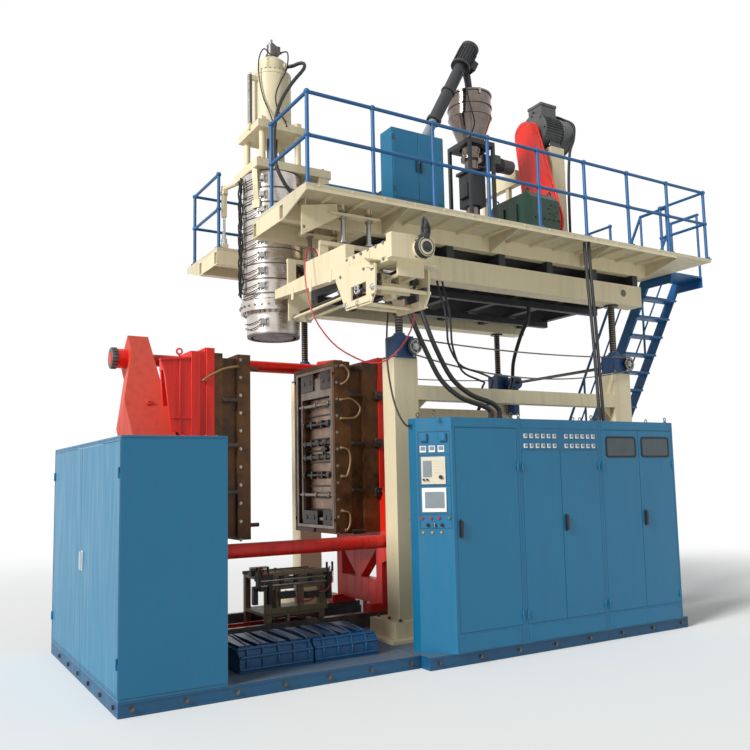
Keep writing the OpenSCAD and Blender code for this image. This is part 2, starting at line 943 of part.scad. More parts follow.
module ram_stage_2() {
  color("#c9cccd")
    difference() {
      along_x([yoke_thick + 28, -1124], 0, clamp_z, stage_1_in - slide_fit);
      along_x([yoke_thick + 38, -1123], 0, clamp_z, stage_2_in);
    }
}

module yoke() {
  l = tie_span / 2 + 150;
  color("#c8503c")
    difference() {
      translate([0, 0, clamp_z])
        rotate([tie_angle, 0, 0])
          translate([0, 0, -yoke_width / 2])
            linear_extrude(height = yoke_width)
              polygon([
                [yoke_face, -l], [yoke_face, l], [yoke_thin, l], [yoke_thin, l - 260],
                [yoke_thick, 450], [yoke_thick, -450], [yoke_thin, 260 - l], [yoke_thin, -l]
              ]);
      along_x([yoke_thick + 14, yoke_face + 1], 0, clamp_z, ram_radius);
      along_x([yoke_thick - 1, yoke_face + 1], -tie_y, tie_low, tie_radius);
      along_x([yoke_thick - 1, yoke_face + 1], tie_y, tie_high, tie_radius);
    }
}

module tie_bar(y, z) {
  color("#d3281c") {
    along_x([-1530, right_back], y, z, tie_radius);
    along_x([right_back, platen_back + 75], y, z, tie_end);
  }
  color("#4b4e50") {
    difference() {
      along_x([-1520, yoke_thin], y, z, 107.5);
      along_x([-1521, yoke_thin + 1], y, z, tie_radius);
    }
    difference() {
      along_x([platen_back, platen_back + 60], y, z, 77);
      along_x([platen_back - 1, platen_back + 61], y, z, tie_end);
    }
  }
}

module tie_bars() {
  tie_bar(-tie_y, tie_low);
  tie_bar(tie_y, tie_high);
}

module right_platen() {
  color("#d3281c") {
    difference() {
      union() {
        plate_x([right_back, platen_back], [
          [-500, 321], [500, 321], [500, 2480], [940, 2899], [975, 2950], [975, 3095], [940, 3130],
          [500, 3095], [500, 2980], [-500, 2980], [-500, 1560], [-940, 1146], [-975, 1100], [-975, 950],
          [-940, 915], [-500, 760]
        ]);
        span([platen_back, platen_back + 160], [-440, -400], [400, 2900]);
        span([platen_back, platen_back + 160], [400, 440], [400, 2900]);
        span([platen_back, platen_back + 160], [-400, 400], [1180, 1220]);
        span([platen_back, platen_back + 160], [-400, 400], [2000, 2040]);
        span([platen_back, platen_back + 160], [-400, 400], [2780, 2820]);
      }
      plate_x([right_back - 1, platen_back + 1], [[-380, 575], [-40, 575], [-380, 890]]);
      plate_x([right_back - 1, platen_back + 1], [[380, 575], [40, 575], [380, 890]]);
      along_x([right_back - 1, platen_back + 1], -tie_y, tie_low, tie_end);
      along_x([right_back - 1, platen_back + 1], tie_y, tie_high, tie_end);
    }
    platen_feet([880, 1180]);
    span([right_back, right_back + 30], [-122, -80], [rack_z[0], 322]);
  }
  color("#5a5d60")
    rack([pinion_x - 30, right_back + 30], -1);
}

module right_mould() {
  f = half_open;
  color("#4a3a2c")
    difference() {
      union() {
        span([f, 670], [-platen_half, platen_half], mould_z);
        span([670, 827], [-440, 440], [1130, 2878]);
        span([827, right_back], [-platen_half, platen_half], mould_z);
      }
      span([f - 1, f + recess_depth], [-recess_y, recess_y], recess_z);
      span([f - 1, f + cavity_depth], [-cavity_y, cavity_y], cavity_z);
      along_z(f, 0, [mould_z[0] - 1, cavity_z[0] + 1], 32);
      for (y = guide_y)
        for (z = guide_z)
          along_x([f - 1, f + 96], y, z, 21, fine);
    }
}

module platform_beams() {
  color("#d8cfae") {
    box_tube_x(beam_x, front_beam_y, lower_z, 14);
    box_tube_x(beam_x, rear_beam_y, lower_z, 14);
    for (y = edge_beam_y)
      box_tube_x([deck_x[0], upper_beam_end], y, upper_z, 12);
    for (x = tie_beam_x)
      box_tube_y([x, x + tie_beam_width], [edge_beam_y[0][1], edge_beam_y[1][0]], upper_z, 12);
    box_tube_x([deck_x[0], tie_beam_x[0]], [notch_y[0] - tie_beam_width, notch_y[0]], upper_z, 12);
    box_tube_x([deck_x[0], tie_beam_x[0]], [notch_y[1], notch_y[1] + tie_beam_width], upper_z, 12);
    span([deck_x[0], deck_x[0] + 10], [edge_beam_y[0][1], notch_y[0] - tie_beam_width], upper_z);
    span([deck_x[0], deck_x[0] + 10], [notch_y[1] + tie_beam_width, edge_beam_y[1][0]], upper_z);
    for (x = gland_x)
      span([x - 32, x + 32], [front_beam_y[0] - 64, front_beam_y[0]], [gland_low, gland_low + 60]);
  }
}

module platform_joists() {
  color("#23272b") {
    for (x = joist_x) {
      span([x, x + joist_width], [front_beam_y[0], rear_beam_y[1]], [lower_z[1], upper_z[0]]);
      span([x, x + joist_width], [front_beam_y[1], rear_beam_y[0]],
        [lower_z[1] - joist_drop[0], lower_z[1] - joist_seam]);
    }
    for (y = runner_y)
      span([joist_x[0], joist_x[5] + joist_width], [y, y + runner_width],
        [lower_z[1] - joist_drop[1], lower_z[1] - joist_drop[0] - joist_seam]);
  }
}

// Outline of the deck with the notch round the head
module deck_outline() {
  polygon([
    [deck_x[0], deck_y[0]], [deck_x[1], deck_y[0]], [deck_x[1], deck_y[1]], [deck_x[0], deck_y[1]],
    [deck_x[0], notch_y[1]], [notch_x, notch_y[1]], [notch_x, notch_y[0]], [deck_x[0], notch_y[0]]
  ]);
}

module deck() {
  color("#d8cfae") {
    translate([0, 0, deck_low])
      linear_extrude(height = deck_top - deck_low)
        deck_outline();
    along_z(60, -560, [deck_top - 1, 4345], 28, fine);
    along_z(3080, -1650, [4255, deck_low + 1], 28, fine);
    for (x = bracket_x) {
      plate_x([x, x + 12], [
        [-1204, upper_z[0]], [-1204, deck_low], [-1690, deck_low], [-1690, deck_low - 30]
      ]);
      plate_x([x, x + 12], [
        [1204, upper_z[0]], [1204, deck_low], [1650, deck_low], [1650, deck_low - 30]
      ]);
    }
  }
}

module post(x, y) {
  color("#2a6aa5") {
    along_z(x, y, [deck_top, rail_top], rail_radius - 2, fine);
    span([max(x - 40, deck_x[0]), min(x + 40, deck_x[1])], [y - 40, y + 40], [deck_top, deck_top + 8]);
    for (z = [rail_mid, rail_top])
      translate([x, y, z])
        sphere(r = rail_radius + 9, $fn = fine);
  }
}

module rails(a, b) {
  color("#2a6aa5")
    for (z = [rail_mid, rail_top])
      rod([a[0], a[1], z], [b[0], b[1], z], rail_radius - 3);
}

left_end_y = -856;
left_rear_y = 631;
right_end_y = -990;
stair_rear_y = -114;

module railing() {
  for (i = [0 : 8]) {
    post(rail_first + post_pitch * i, rail_y[0]);
    post(rail_first + post_pitch * i, rail_y[1]);
  }
  post(rail_first, left_end_y);
  post(rail_first, left_rear_y);
  post(rail_last, right_end_y);
  post(rail_last, stair_rear_y);
  post(rail_last, 677);
  rails([rail_first, rail_y[0]], [rail_last, rail_y[0]]);
  rails([rail_first, rail_y[1]], [rail_last, rail_y[1]]);
  rails([rail_first, rail_y[0]], [rail_first, left_end_y]);
  rails([rail_first, left_rear_y], [rail_first, rail_y[1]]);
  rails([rail_last, rail_y[0]], [rail_last, right_end_y]);
  rails([rail_last, stair_rear_y], [rail_last, rail_y[1]]);
}

stair_x = [deck_x[1] + 40, deck_x[1] + 690];
stair_top_y = -560;
stair_foot_y = 1850;

function stair_y(z) = stair_top_y + (stair_foot_y - stair_top_y) * (deck_top - z) / deck_top;

module stair() {
  color("#2a6aa5") {
    for (x = [stair_x[0], stair_x[1] - 12]) {
      plate_x([x, x + 12], [
        [-1050, deck_top - 150], [-1050, deck_top], [stair_top_y, deck_top], [stair_foot_y, 0],
        [stair_foot_y - 190, 0], [stair_top_y - 80, deck_top - 150]
      ]);
      for (y = [-1028, -602])
        along_z(x + 6, y, [deck_top - 20, deck_top + 875], 16, fine);
      for (z = [3300, 2200, 1100, 150])
        along_z(x + 6, stair_y(z) - 30, [z, z + 870], 16, fine);
      along_y(x + 6, [-1050, -596], deck_top + 880, 21, fine);
      rod([x + 6, -604, deck_top + 880], [x + 6, stair_y(150) - 20, 1024], 19);
      rod([x + 6, -604, deck_top + 440], [x + 6, stair_y(150) - 20, 584], 12);
    }
    span([deck_x[1], stair_x[1]], [-1050, stair_top_y - 90], [deck_top - 25, deck_top]);
    for (i = [1 : 17])
      let (z = deck_top - i * 240)
      span([stair_x[0] + 6, stair_x[1] - 6], [stair_y(z) - 190, stair_y(z) - 10], [z - 30, z]);
  }
}

module head_body() {
  color("#b9bcbd")
    difference() {
      union() {
        along_z(0, 0, [3200, head_low], die_radius);
        along_z(0, 0, [head_low, flange_top], die_radius + 72);
        along_z(0, 0, [flange_top, head_top], head_radius);
      }
      along_z(0, 0, [3199, 3560], die_bore);
      translate([0, 0, 3560])
        cylinder(h = 260, r1 = die_bore, r2 = core_radius + slide_fit, $fn = smooth);
      along_z(0, 0, [3819, head_top + 1], core_radius + slide_fit);
    }
}

module mandrel() {
  color("#6d7072") {
    along_z(0, 0, [3202, 3520], 222);
    translate([0, 0, 3520])
      cylinder(h = 200, r1 = 222, r2 = core_radius - 2, $fn = smooth);
    along_z(0, 0, [3700, head_top + 700], core_radius);
  }
}

module head_cylinder() {
  t = head_top;
  color("#d8cfae")
    difference() {
      union() {
        span([-324, 566], [-324, 324], [t, t + 90]);
        for (x = [-212, 212])
          for (y = [-212, 212])
            along_z(x, y, [t + 90, t + 460], 35, fine);
        span([-290, 290], [-290, 290], [t + 460, t + 540]);
        along_z(0, 0, [t + 540, t + 1200], 214);
        along_z(0, 0, [t + 1200, t + 1355], 158);
        translate([0, 0, t + 1355])
          cylinder(h = 74, r1 = 158, r2 = 60, $fn = smooth);
        along_z(0, 0, [t + 1429, t + 1575], 50, fine);
        translate([0, 0, t + 1300])
          rotate([0, 90, -45])
            cylinder(h = 190, r = 28, $fn = fine);
        along_z(-290, -60, [t + 500, t + 1150], 22, fine);
        span([-300, -200], [-80, -40], [t + 1080, t + 1130]);
        span([-312, -230], [-82, -38], [t + 500, t + 560]);
      }
      along_z(0, 0, [t - 1, t + 800], core_radius + slide_fit);
    }
}

module barrel() {
  color("#9da0a2")
    difference() {
      along_x([head_radius - 60, gear_x[0]], 0, barrel_z, barrel_radius);
      along_z(0, 0, [barrel_z - 300, barrel_z + 300], head_radius);
      along_x([head_radius - 61, gear_x[0] + 1], 0, barrel_z, bore_radius + slide_fit);
      along_z(hopper_x, 0, [barrel_z, barrel_z + 200], neck_radius + 0.3);
    }
}

module extruder_screw() {
  color("#7d7f80") {
    along_x([head_radius + 30, gear_x[0] + 160], 0, barrel_z, bore_radius - 18, fine);
    for (i = [0 : 18])
      along_x([head_radius + 60 + 160 * i, head_radius + 82 + 160 * i], 0, barrel_z, bore_radius);
  }
}

module gearbox() {
  color("#17402f")
    difference() {
      union() {
        span([gear_x[0] - 30, gear_x[1]], [-gear_half, gear_half], [deck_top, deck_top + 60]);
        span(gear_x, [-gear_half + 30, gear_half - 30], [deck_top + 60, gear_top - 90]);
        plate_x(gear_x, [
          [-gear_half + 30, gear_top - 90], [gear_half - 30, gear_top - 90],
          [gear_half - 110, gear_top], [-gear_half + 110, gear_top]
        ]);
        for (z = [barrel_z - 105, barrel_z + 215])
          span([gear_x[0] - 1, gear_x[1]], [-gear_half, gear_half], [z, z + 40]);
        for (y = [-gear_half, -150, 110, gear_half - 40])
          span([gear_x[0] - 20, gear_x[1] - 20], [y, y + 40], [deck_top + 60, gear_top - 120]);
      }
      span([gear_x[0] - 31, gear_x[0]], [-185, 185], [barrel_z - 185, barrel_z + 185]);
      along_x([gear_x[0] - 32, gear_x[0] + 170], 0, barrel_z, bore_radius - 18 + slide_fit);
    }
}

module belt_guard() {
  color("#e0301c") {
    hull() {
      along_x(guard_x, guard_high[0], guard_high[1], 175, 32);
      along_x(guard_x, guard_low[0], guard_low[1], 290, 32);
    }
    along_x([gear_x[1], guard_x[0] + 1], guard_low[0], guard_low[1], 120);
  }
}

module motor() {
  color("#5f6467") {
    a = guard_x[1];
    seat = motor_seat;
    along_x([a, a + 60], motor_y, motor_z, 120);
    along_x([a + 60, a + 430], motor_y, motor_z, motor_radius);
    along_x([a + 430, a + 600], motor_y, motor_z, motor_radius + 22);
    span([a + 120, a + 400], [motor_y - 130, motor_y + 130], [motor_z + 200, motor_z + 410]);
    span([a + 180, a + 400], [motor_y - 220, motor_y + 220], [seat, seat + 35]);
    for (y = [motor_y - 200, motor_y + 160])
      span([a + 190, a + 390], [y, y + 40], [seat + 30, motor_z]);
  }
}

module deck_stands() {
  color("#d8cfae") {
    for (y = [-320, 240])
      span([420, 540], [y, y + 80], [deck_top, head_top]);
    for (x = [1400, 2400])
      difference() {
        span([x, x + 60], [-200, 200], [deck_top, barrel_z]);
        along_x([x - 1, x + 61], 0, barrel_z, barrel_radius + 0.3);
      }
    difference() {
      span(stand_x, [motor_y - 245, motor_y + 245], [deck_top, motor_seat]);
      span([stand_x[0] - 1, stand_x[1] + 1], [motor_y - 155, motor_y + 155],
        [motor_seat - 460, motor_seat - 120]);
      span([stand_x[0] + 12, stand_x[1] - 12], [motor_y - 233, motor_y + 233],
        [deck_top - 1, motor_seat - 540]);
    }
    span([3960, 4060], [420, 1250], [motor_seat - 450, motor_seat - 240]);
    for (y = [600, 1150])
      span([3980, 4040], [y, y + 60], [deck_top, motor_seat - 450]);
  }
}

module hopper() {
  color("#8d8a88") {
    translate([hopper_x, 0, 0])
      rotate_extrude($fn = smooth)
        polygon([
          [neck_radius - 6, barrel_z + 110], [neck_radius, barrel_z + 110], [neck_radius, hopper_level[0]],
          [hopper_radius, hopper_level[1]], [hopper_radius, hopper_level[2]], [0, hopper_level[2] + 30],
          [0, hopper_level[2] + 22], [hopper_radius - 6, hopper_level[2] - 8],
          [hopper_radius - 6, hopper_level[1] + 3], [neck_radius - 6, hopper_level[0] + 3]
        ]);
    difference() {
      along_z(hopper_x, 0, [hopper_level[1] + 130, hopper_level[1] + 150], hopper_radius + 12);
      along_z(hopper_x, 0, [hopper_level[1] + 129, hopper_level[1] + 151], hopper_radius - 1);
    }
  }
}

// Outer radius of the cone of the hopper at a height above its foot
function hopper_cone(h) =
  neck_radius + (hopper_radius - neck_radius) * h / (hopper_level[1] - hopper_level[0]);

module loader() {
  a = [loader_low[0], loader_y, loader_low[1]];
  b = [loader_high[0], loader_y, loader_high[1]];
  d = (b - a) / norm(b - a);
  l = norm(b - a);
  color("#2a2b2e") {
    rod(a + 150 * d, a + (l - 500) * d, 55);
    rod(a + (l - 1250) * d, a + (l - 320) * d, 78);
    rod(a + (l - 330) * d, b, 112);
    rod([2590, -240, hopper_level[2] + 330], [2710, -150, hopper_level[2] + 26], 45);
    difference() {
      span([1060, 1480], [-640, -200], loader_bin);
      span([1068, 1472], [-632, -208], [loader_bin[0] + 8, loader_bin[1] + 1]);
    }
    for (x = [1060, 1440])
      for (y = [-640, -240])
        span([x, x + 40], [y, y + 40], [deck_top, loader_bin[0]]);
    for (x = [hopper_x - 210, hopper_x + 170])
      for (y = [-230, 190])
        span([x, x + 40], [y, y + 40], [deck_top, hopper_level[0] + 170]);
    difference() {
      span([hopper_x - 210, hopper_x + 210], [-230, 230], [hopper_level[0] + 110, hopper_level[0] + 170]);
      along_z(hopper_x, 0, [hopper_level[0] + 109, hopper_level[0] + 171], hopper_cone(170) + 0.3);
    }
    along_x([hopper_x + 150, 3620], 130, feeder_level, 88);
  }
}

module deck_box() {
  color("#2f6f93") {
    span([750, 1400], [-1300, -1080], box_level);
    for (x = [750, 1370])
      for (y = [-1300, -1110])
        span([x, x + 30], [y, y + 30], [deck_top, box_level[0]]);
  }
  color("#2a2b2e")
    span([120, 700], [-1100, -820], [deck_top, deck_top + 275]);
}

module parison_beam() {
  color("#d8cfae") {
    plate_x([-150, -60], [
      [-2590, 3412], [-2590, 3580], [-1890, 3600], [-1890, 3735], [-1070, 3765], [-1070, 3640],
      [-370, 3640], [-370, 3545], [-2240, 3420]
    ]);
    span([-168, 250], [-2670, -2590], [3425, 3628]);
    along_y(115, [-2760, -2670], 3515, 80);
    span([-16, 480], [-1410, -1370], [4160, 4200]);
    span([-150, 480], [-1410, -1370], [3860, 3900]);
    span([-16, 415], [-700, -660], [4160, 4200]);
    span([-150, 480], [-700, -660], [3860, 3900]);
    along_z(-105, -1250, [3750, 3778], 11, fine);
    span([-150, -60], [-1400, -1370], [3700, 3900]);
    span([-150, -60], [-700, -670], [3640, 3900]);
  }
  color("#8f9295") {
    for (y = [-1390, -680])
      for (x = [110, 398])
        along_z(x, y, [3840, deck_low], 16, fine);
    for (x = [0, 170])
      along_y(x, [-2590, -500], 3330, 16, fine);
    span([-60, 200], [-2590, -2570], [3300, 3500]);
    span([-60, 200], [-520, -500], [3300, 3640]);
  }
}

module carriage() {
  outline = [
    [-1783, 3516], [-1816, 3390], [-1987, 3104], [-2406, 3091], [-2472, 3185], [-2481, 3408], [-2355, 3447]
  ];
  window = [[-2330, 3170], [-2080, 3170], [-2080, 3290], [-2330, 3290]];
  color("#d8cfae")
    for (x = [-210, 320])
      difference() {
        plate_x([x, x + 16], outline);
        plate_x([x - 1, x + 17], window);
      }
  color("#8f9295") {
    along_x([336, 352], -2030, 3200, 11, fine);
    for (k = [[-2440, 3220], [-1990, 3150], [-2200, 3130]])
      along_x([-194, 320], k[0], k[1], 18, fine);
    for (x = [0, 170])
      difference() {
        span([x - 45, x + 45], [-2320, -1960], [3285, 3375]);
        along_y(x, [-2321, -1959], 3330, 16 + slide_fit, fine);
      }
    span([-194, 320], [-2160, -2120], [3374, 3400]);
  }
}

module air_hose() {
  color("#c23a3a")
    tube_along(air_route, air_radius);
}

module floor_hoses() {
  color("#17181a") {
    tube_along(hose_a_route, hose_radius);
    tube_along(hose_b_route, hose_radius);
    tube_along(thin_route, thin_radius);
    tube_along(cable_route, cable_radius);
  }
}

module head_hoses() {
  color("#17181a")
    tube_along(head_route, head_hose_radius);
}

base();
left_housing();
control_cabinets();
support_frame();
screw_jacks();
lift_chain();
clamp_rails();
blow_station();
moulded_panel();
housing_door_front();
housing_door_rear();
housing_handle();
door_1();
handle_1();
door_2_left();
door_2_right();
handle_2();
door_3_left();
door_3_right();
handle_3();
button_1();
button_2();
button_3();
button_4();
left_platen();
left_mould();
ram_rod();
right_platen();
right_mould();
yoke();
tie_bars();
ram_stage_1();
ram_stage_2();
sync_pinion();
line_shaft();
left_sprockets();
lift_screws();
platform_beams();
platform_joists();
deck();
railing();
stair();
head_body();
head_cylinder();
barrel();
gearbox();
belt_guard();
motor();
deck_stands();
hopper();
loader();
deck_box();
parison_beam();
carriage();
mandrel();
extruder_screw();
blow_pin();
air_hose();
floor_hoses();
head_hoses();
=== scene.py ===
from math import asin, cos, sin, pi, radians
import bpy
import bmesh
from mathutils import Vector, Matrix


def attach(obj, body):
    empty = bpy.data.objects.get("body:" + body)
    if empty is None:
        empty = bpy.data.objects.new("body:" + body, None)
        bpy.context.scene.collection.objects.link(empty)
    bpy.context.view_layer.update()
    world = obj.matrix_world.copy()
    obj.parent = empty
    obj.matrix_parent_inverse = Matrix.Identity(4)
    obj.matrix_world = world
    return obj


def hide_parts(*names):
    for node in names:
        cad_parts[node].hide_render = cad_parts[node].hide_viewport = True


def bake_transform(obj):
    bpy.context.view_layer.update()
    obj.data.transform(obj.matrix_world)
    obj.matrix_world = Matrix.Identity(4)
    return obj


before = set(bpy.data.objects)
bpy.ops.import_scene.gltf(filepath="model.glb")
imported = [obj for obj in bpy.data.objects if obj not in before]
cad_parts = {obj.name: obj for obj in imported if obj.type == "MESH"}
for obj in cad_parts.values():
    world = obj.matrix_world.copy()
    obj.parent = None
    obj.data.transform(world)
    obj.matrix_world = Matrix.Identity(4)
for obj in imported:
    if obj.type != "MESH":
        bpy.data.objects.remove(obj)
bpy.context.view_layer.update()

scene = bpy.context.scene
mm = 0.001          # sizes below are in millimetres
deckTop = 4325      # walking surface of the platform
platenSide = -484   # front side of the platens and moulds
toRight, toBack, toTop = (1, 0, 0), (0, 1, 0), (0, 0, 1)
toLeft, toFront, toFloor = (-1, 0, 0), (0, -1, 0), (0, 0, -1)


# camera solved from the edges of the housings, columns and deck
cameraSetup = {
    "place": (-3551.9, -7906.8, 1659.7),
    "yaw": 31.08, "pitch": 6.206, "roll": -1.176,
    "focalPixels": 799.8, "centre": (370.12, 391.62), "frame": 750,
}


def makeCamera(setup):
    yaw, pitch, roll = (radians(setup[k]) for k in ("yaw", "pitch", "roll"))
    ahead = Vector((sin(yaw) * cos(pitch), cos(yaw) * cos(pitch), sin(pitch)))
    level = Vector((cos(yaw), -sin(yaw), 0))
    plumb = level.cross(ahead)
    right = cos(roll) * level + sin(roll) * plumb
    up = cos(roll) * plumb - sin(roll) * level
    data = bpy.data.cameras.new("photoCamera")
    data.sensor_width = 36
    data.lens = 36 * setup["focalPixels"] / setup["frame"]
    data.shift_x = (setup["frame"] / 2 - setup["centre"][0]) / setup["frame"]
    data.shift_y = (setup["centre"][1] - setup["frame"] / 2) / setup["frame"]
    data.clip_end = 200
    camera = bpy.data.objects.new("photoCamera", data)
    camera.matrix_world = Matrix((
        (right.x, up.x, -ahead.x, setup["place"][0] * mm),
        (right.y, up.y, -ahead.y, setup["place"][1] * mm),
        (right.z, up.z, -ahead.z, setup["place"][2] * mm),
        (0, 0, 0, 1)))
    scene.collection.objects.link(camera)
    scene.camera = camera


makeCamera(cameraSetup)
print("camera placed")


# finishes, each one a material with the slot of the record that it belongs to
def linear(hexColour):
    parts = [int(hexColour[i:i + 2], 16) / 255 for i in (1, 3, 5)]
    return [c / 12.92 if c <= 0.04045 else ((c + 0.055) / 1.055) ** 2.4 for c in parts] + [1]


def addNode(tree, kind, settings=None, links=None):
    node = tree.nodes.new(kind)
    for name, value in (settings or {}).items():
        setattr(node, name, value)
    for socket, value in (links or {}).items():
        several = value if isinstance(value, list) and isinstance(value[0], bpy.types.NodeSocket) else [value]
        for one in several:
            if isinstance(one, bpy.types.NodeSocket):
                tree.links.new(one, node.inputs[socket])
            else:
                node.inputs[socket].default_value = one
    return node


finishes = {}       # name of a finish -> (material, slot of the record)


def startFinish(name, slot, constants):
    material = bpy.data.materials.new(name)
    material.use_nodes = True
    tree = material.node_tree
    tree.nodes.clear()
    shader = addNode(tree, "ShaderNodeBsdfPrincipled", links=constants)
    addNode(tree, "ShaderNodeOutputMaterial", links={"Surface": shader.outputs[0]})
    where = addNode(tree, "ShaderNodeTexCoord")
    finishes[name] = (material, slot)
    return tree, shader, where.outputs["Object"], where.outputs["Normal"]


wavePeriod = 0.314      # metres between two bands of the wave texture at scale 1
grainStretch = (4.0, 4.0, 60.0)
runStretch = (7.0, 7.0, 0.7)
dustColour, walkedColour, crestColour = "#a39c8e", "#8e8878", "#c9c4b4"


def noise(tree, point, scale, detail, roughness=0.5):
    return addNode(tree, "ShaderNodeTexNoise", {}, {
        "Vector": point, "Scale": scale, "Detail": detail, "Roughness": roughness}).outputs["Fac"]


def stretched(tree, point, scale):
    return addNode(tree, "ShaderNodeMapping", {}, {"Vector": point, "Scale": scale}).outputs[0]


def ranged(tree, value, seen, given):
    # the span seen of a value turned into the span given
    return addNode(tree, "ShaderNodeMapRange", {},
                   {"Value": value, "From Min": seen[0], "From Max": seen[1], "To Min": given[0],
                    "To Max": given[1]}).outputs[0]


def mixed(tree, share, first, second):
    return addNode(tree, "ShaderNodeMix", {"data_type": "RGBA"},
                   {"Factor": share, 6: first, 7: second}).outputs[2]


def maths(tree, operation, *values):
    return addNode(tree, "ShaderNodeMath", {"operation": operation}, dict(enumerate(values))).outputs[0]


def upwardShare(tree, normal):
    return addNode(tree, "ShaderNodeSeparateXYZ", {}, {0: normal}).outputs["Z"]


def setBump(tree, shader, height, strength, distance):
    bump = addNode(tree, "ShaderNodeBump", {}, {"Height": height, "Strength": strength, "Distance": distance})
    tree.links.new(bump.outputs[0], shader.inputs["Normal"])


def setSurface(tree, shader, colour, roughness):
    tree.links.new(colour, shader.inputs["Base Color"])
    tree.links.new(roughness, shader.inputs["Roughness"])


def sprayPaint(name, slot, colour, shade, grime="#5a5348", amount=0.3, roughness=0.42, chips=None, dust=0.25):
    # two-pack paint sprayed on steel: fine orange peel, cloudy tone, run-down grime, dust on what faces up
    tree, shader, point, normal = startFinish(name, slot, {"IOR": 1.5, "Metallic": 0.0})
    tone = mixed(tree, noise(tree, point, 1.4, 6.0, 0.6), linear(colour), linear(shade))
    streak = noise(tree, stretched(tree, point, runStretch), 2.2, 8.0)
    dirty = mixed(tree, ranged(tree, streak, (0.5, 0.78), (0.0, amount)), tone, linear(grime))
    lying = ranged(tree, upwardShare(tree, normal), (0.6, 1.0), (0.0, dust))
    last = mixed(tree, lying, dirty, linear(dustColour))
    if chips:
        bare = ranged(tree, noise(tree, point, 26.0, 9.0, 0.7), (0.655, 0.69), (0.0, 0.8))
        last = mixed(tree, bare, last, linear(chips))
    setSurface(tree, shader, last, ranged(tree, streak, (0.3, 0.75), (roughness - 0.05, roughness + 0.16)))
    peel = noise(tree, point, 160.0, 2.0)
    dents = noise(tree, point, 3.0, 1.0)
    setBump(tree, shader, maths(tree, "MULTIPLY_ADD", dents, 1.6, peel), 0.18, 0.003)
    return tree, shader, point, normal, last


def metalSheet(name, slot, colour, tint, roughness=0.3, stain=0.4, waviness=0.25):
    # bare metal: brushed grain, heat and oil stains, slightly wavy so that reflections break up
    tree, shader, point = startFinish(name, slot, {"Metallic": 1.0})[:3]
    brushed = noise(tree, stretched(tree, point, grainStretch), 3.0, 6.0)
    stained = ranged(tree, noise(tree, point, 5.0, 7.0, 0.65), (0.4, 0.72), (0.0, stain))
    tone = mixed(tree, stained, linear(colour), linear(tint))
    setSurface(tree, shader, tone, ranged(tree, brushed, (0.3, 0.7), (roughness - 0.06, roughness + 0.12)))
    dents = noise(tree, point, 9.0, 2.0)
    setBump(tree, shader, maths(tree, "MULTIPLY_ADD", brushed, 0.12, dents), waviness, 0.012)


def castIron(name, slot, colour, rust, oil, roughness=0.5, metallic=0.35):
    # sand-cast iron with rust bloom and a film of oil: mottled brown, soft broken sheen, sandy bump
    tree, shader, point = startFinish(name, slot, {"Metallic": metallic})[:3]
    cloud = noise(tree, point, 4.0, 9.0, 0.68)
    tone = addNode(tree, "ShaderNodeValToRGB", {}, {"Fac": cloud})
    ramp = tone.color_ramp
    ramp.elements[0].position, ramp.elements[0].color = 0.34, linear(oil)
    ramp.elements[1].position, ramp.elements[1].color = 0.7, linear(rust)
    ramp.elements.new(0.5).color = linear(colour)
    gloss = ranged(tree, cloud, (0.35, 0.65), (roughness - 0.14, roughness + 0.14))
    setSurface(tree, shader, tone.outputs[0], gloss)
    setBump(tree, shader, noise(tree, point, 55.0, 6.0), 0.35, 0.004)


def mouldedPart(name, slot, colour, shade, roughness=0.4, speckScale=60.0, bumpStrength=0.1):
    # moulded plastic or rubber: even colour with a slight mottle and a fine matt skin
    tree, shader, point = startFinish(name, slot, {"IOR": 1.46})[:3]
    mottle = noise(tree, point, 7.0, 6.0)
    tone = mixed(tree, mottle, linear(colour), linear(shade))
    setSurface(tree, shader, tone, ranged(tree, mottle, (0.0, 1.0), (roughness - 0.06, roughness + 0.1)))
    setBump(tree, shader, noise(tree, point, speckScale, 3.0), bumpStrength, 0.002)


def hoseSkin(name, slot, colour, shade, pitch, roughness, depth):
    # extruded hose: the cloth wrap leaves rings along it, drawn a few times coarser than the real 5 mm
    tree, shader, point = startFinish(name, slot, {"IOR": 1.5})[:3]
    run = addNode(tree, "ShaderNodeAttribute", {"attribute_name": "run"}).outputs["Fac"]
    rings = maths(tree, "SINE", maths(tree, "MULTIPLY", run, 2 * pi / (pitch * mm)))
    mottle = noise(tree, point, 14.0, 5.0)
    tone = mixed(tree, mottle, linear(colour), linear(shade))
    setSurface(tree, shader, tone, ranged(tree, mottle, (0.0, 1.0), (roughness - 0.08, roughness + 0.12)))
    setBump(tree, shader, rings, depth, 0.001)


def waveBands(tree, point, direction, pitch, distortion, detail):
    return addNode(tree, "ShaderNodeTexWave", {"wave_type": "BANDS", "bands_direction": direction}, {
        "Vector": point, "Scale": wavePeriod / (pitch * mm), "Distortion": distortion,
        "Detail": detail}).outputs["Fac"]


def deckPlate(name, slot, colour, shade, pitch):
    # painted chequer plate: raised lozenges on top only, walked bare and dusty, plain paint below
    tree, shader, point, normal, painted = sprayPaint(name, slot, colour, shade, grime="#7a6a4c",
                                                      amount=0.2, dust=0.0)
    topOnly = maths(tree, "GREATER_THAN", upwardShare(tree, normal), 0.7)
    waves = []
    for slant in (45, -45):
        turned = addNode(tree, "ShaderNodeMapping", {}, {"Vector": point, "Rotation": (0, 0, radians(slant))})
        waves.append(waveBands(tree, turned.outputs[0], "X", pitch, 0.0, 2.0))
    raised = maths(tree, "MULTIPLY", maths(tree, "MULTIPLY", *waves), topOnly)
    walked = mixed(tree, topOnly, painted, linear(walkedColour))
    tone = mixed(tree, maths(tree, "MULTIPLY", raised, 0.55), walked, linear(crestColour))
    tree.links.new(tone, shader.inputs["Base Color"])
    setBump(tree, shader, raised, 0.6, 0.004)


